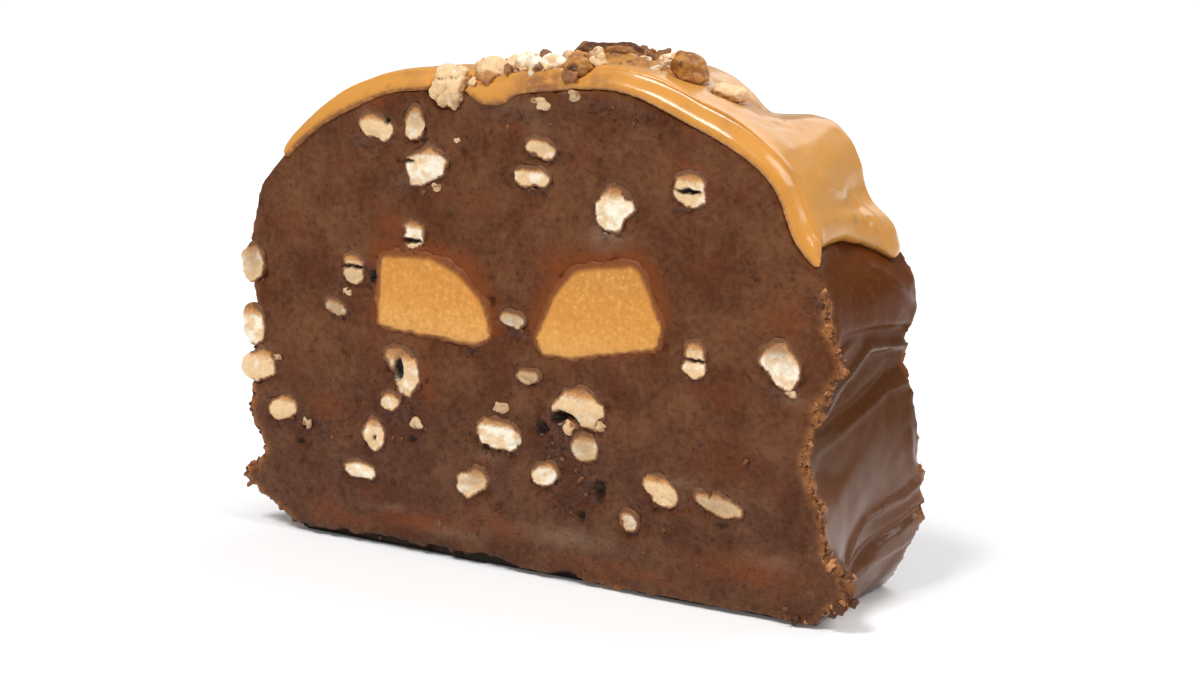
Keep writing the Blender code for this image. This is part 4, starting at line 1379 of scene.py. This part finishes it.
class MakeStage(Operator):
    """Sets the floor, the lights and the camera"""

    bl_idname = "fudge.make_stage"
    bl_label = "Stage"

    def execute(self, context):
        stage = settings().stage
        scene = context.scene
        scene.view_settings.view_transform = "Standard"
        self.floor(stage)
        world = bpy.data.worlds.new("studio")
        world.use_nodes = True
        background = world.node_tree.nodes["Background"]
        background.inputs["Color"].default_value = SKY_COLOUR
        background.inputs["Strength"].default_value = stage.sky
        scene.world = world
        sun = self.lamp("key", "SUN", SUN_PLACE, stage.key)
        sun.angle = SUN_WIDTH
        for name, place, share, across, up in SOFTBOXES:
            box = self.lamp(name, "AREA", place, stage.softbox * share)
            box.shape = "RECTANGLE"
            box.size = across
            box.size_y = up
        self.camera(stage, scene)
        return {"FINISHED"}

    @staticmethod
    def floor(stage):
        """The pale floor, a hair under the slice."""
        bm = bmesh.new()
        bmesh.ops.create_grid(bm, x_segments=8, y_segments=8, size=FLOOR_REACH)
        mesh = bpy.data.meshes.new("floor")
        bm.to_mesh(mesh)
        bm.free()
        floor = add_object("floor", mesh)
        floor.location.z = -FLOOR_GAP
        recipe = Recipe("pale_floor")
        surface = recipe.finish(
            base_color=recipe.mix(recipe.noise(0.4, 1), *FLOOR_TONES),
            roughness=0.9,
            specular_ior_level=0.1,
            emission_color=(1, 1, 1, 1),
            emission_strength=stage.floor_glow,
        )
        mesh.materials.append(surface)

    @staticmethod
    def lamp(name, kind, place, power):
        """A light at this place, turned to the slice."""
        light = bpy.data.lights.new(name, kind)
        light.energy = power
        lamp = add_object(name, light)
        lamp.location = place
        lamp.rotation_mode = "QUATERNION"
        lamp.rotation_quaternion = (Vector(LIT_PLACE) - Vector(place)).to_track_quat("-Z", "Y")
        return light

    @staticmethod
    def camera(stage, scene):
        """The camera, to the right of the front cut and above it."""
        turn, tilt = stage.azimuth, stage.elevation
        back = Vector((math.sin(turn) * math.cos(tilt), -math.cos(turn) * math.cos(tilt), math.sin(tilt)))
        camera = add_object("camera", bpy.data.cameras.new("camera"))
        camera.data.lens = stage.focal
        camera.data.sensor_width = SENSOR_WIDTH
        camera.location = CAMERA_PLACE
        camera.rotation_mode = "QUATERNION"
        camera.rotation_quaternion = (-back).to_track_quat("-Z", "Y")
        scene.camera = camera


OPERATORS = (
    MakeFudge,
    MakeIcing,
    MakeCaramels,
    MakeCutNuts,
    MakeTopNuts,
    MakeNutBits,
    MakeTopCrumbs,
    MakeStage,
)
GROUPS = (FudgeSettings, IcingSettings, NutSettings, StageSettings, SliceSettings)


class FudgePanel(Panel):
    """Lists the slice's pieces and settings"""

    bl_idname = "VIEW3D_PT_fudge_slice"
    bl_label = "Chocolate fudge slice"
    bl_space_type = "VIEW_3D"
    bl_region_type = "UI"
    bl_category = "Fudge"

    def draw(self, context):
        for operator in OPERATORS:
            self.layout.operator(operator.bl_idname)
        for name in ("fudge", "icing", "nut", "stage"):
            group = getattr(context.scene.fudge_slice, name)
            box = self.layout.box()
            for key in group.__annotations__:
                box.prop(group, key)


def register():
    """Adds the slice's settings, operators and panel to Blender."""
    for group in GROUPS + OPERATORS + (FudgePanel,):
        bpy.utils.register_class(group)
    bpy.types.Scene.fudge_slice = PointerProperty(type=SliceSettings)


def unregister():
    """Takes them out again."""
    del bpy.types.Scene.fudge_slice
    for group in reversed(GROUPS + OPERATORS + (FudgePanel,)):
        bpy.utils.unregister_class(group)


def main():
    """Makes the whole slice and its stage."""
    register()
    bpy.ops.fudge.make_fudge()
    bpy.ops.fudge.make_icing()
    bpy.ops.fudge.make_caramels()
    bpy.ops.fudge.make_cut_nuts()
    bpy.ops.fudge.make_top_nuts()
    bpy.ops.fudge.make_nut_bits()
    bpy.ops.fudge.make_top_crumbs()
    bpy.ops.fudge.make_stage()


if __name__ == "__main__":
    main()
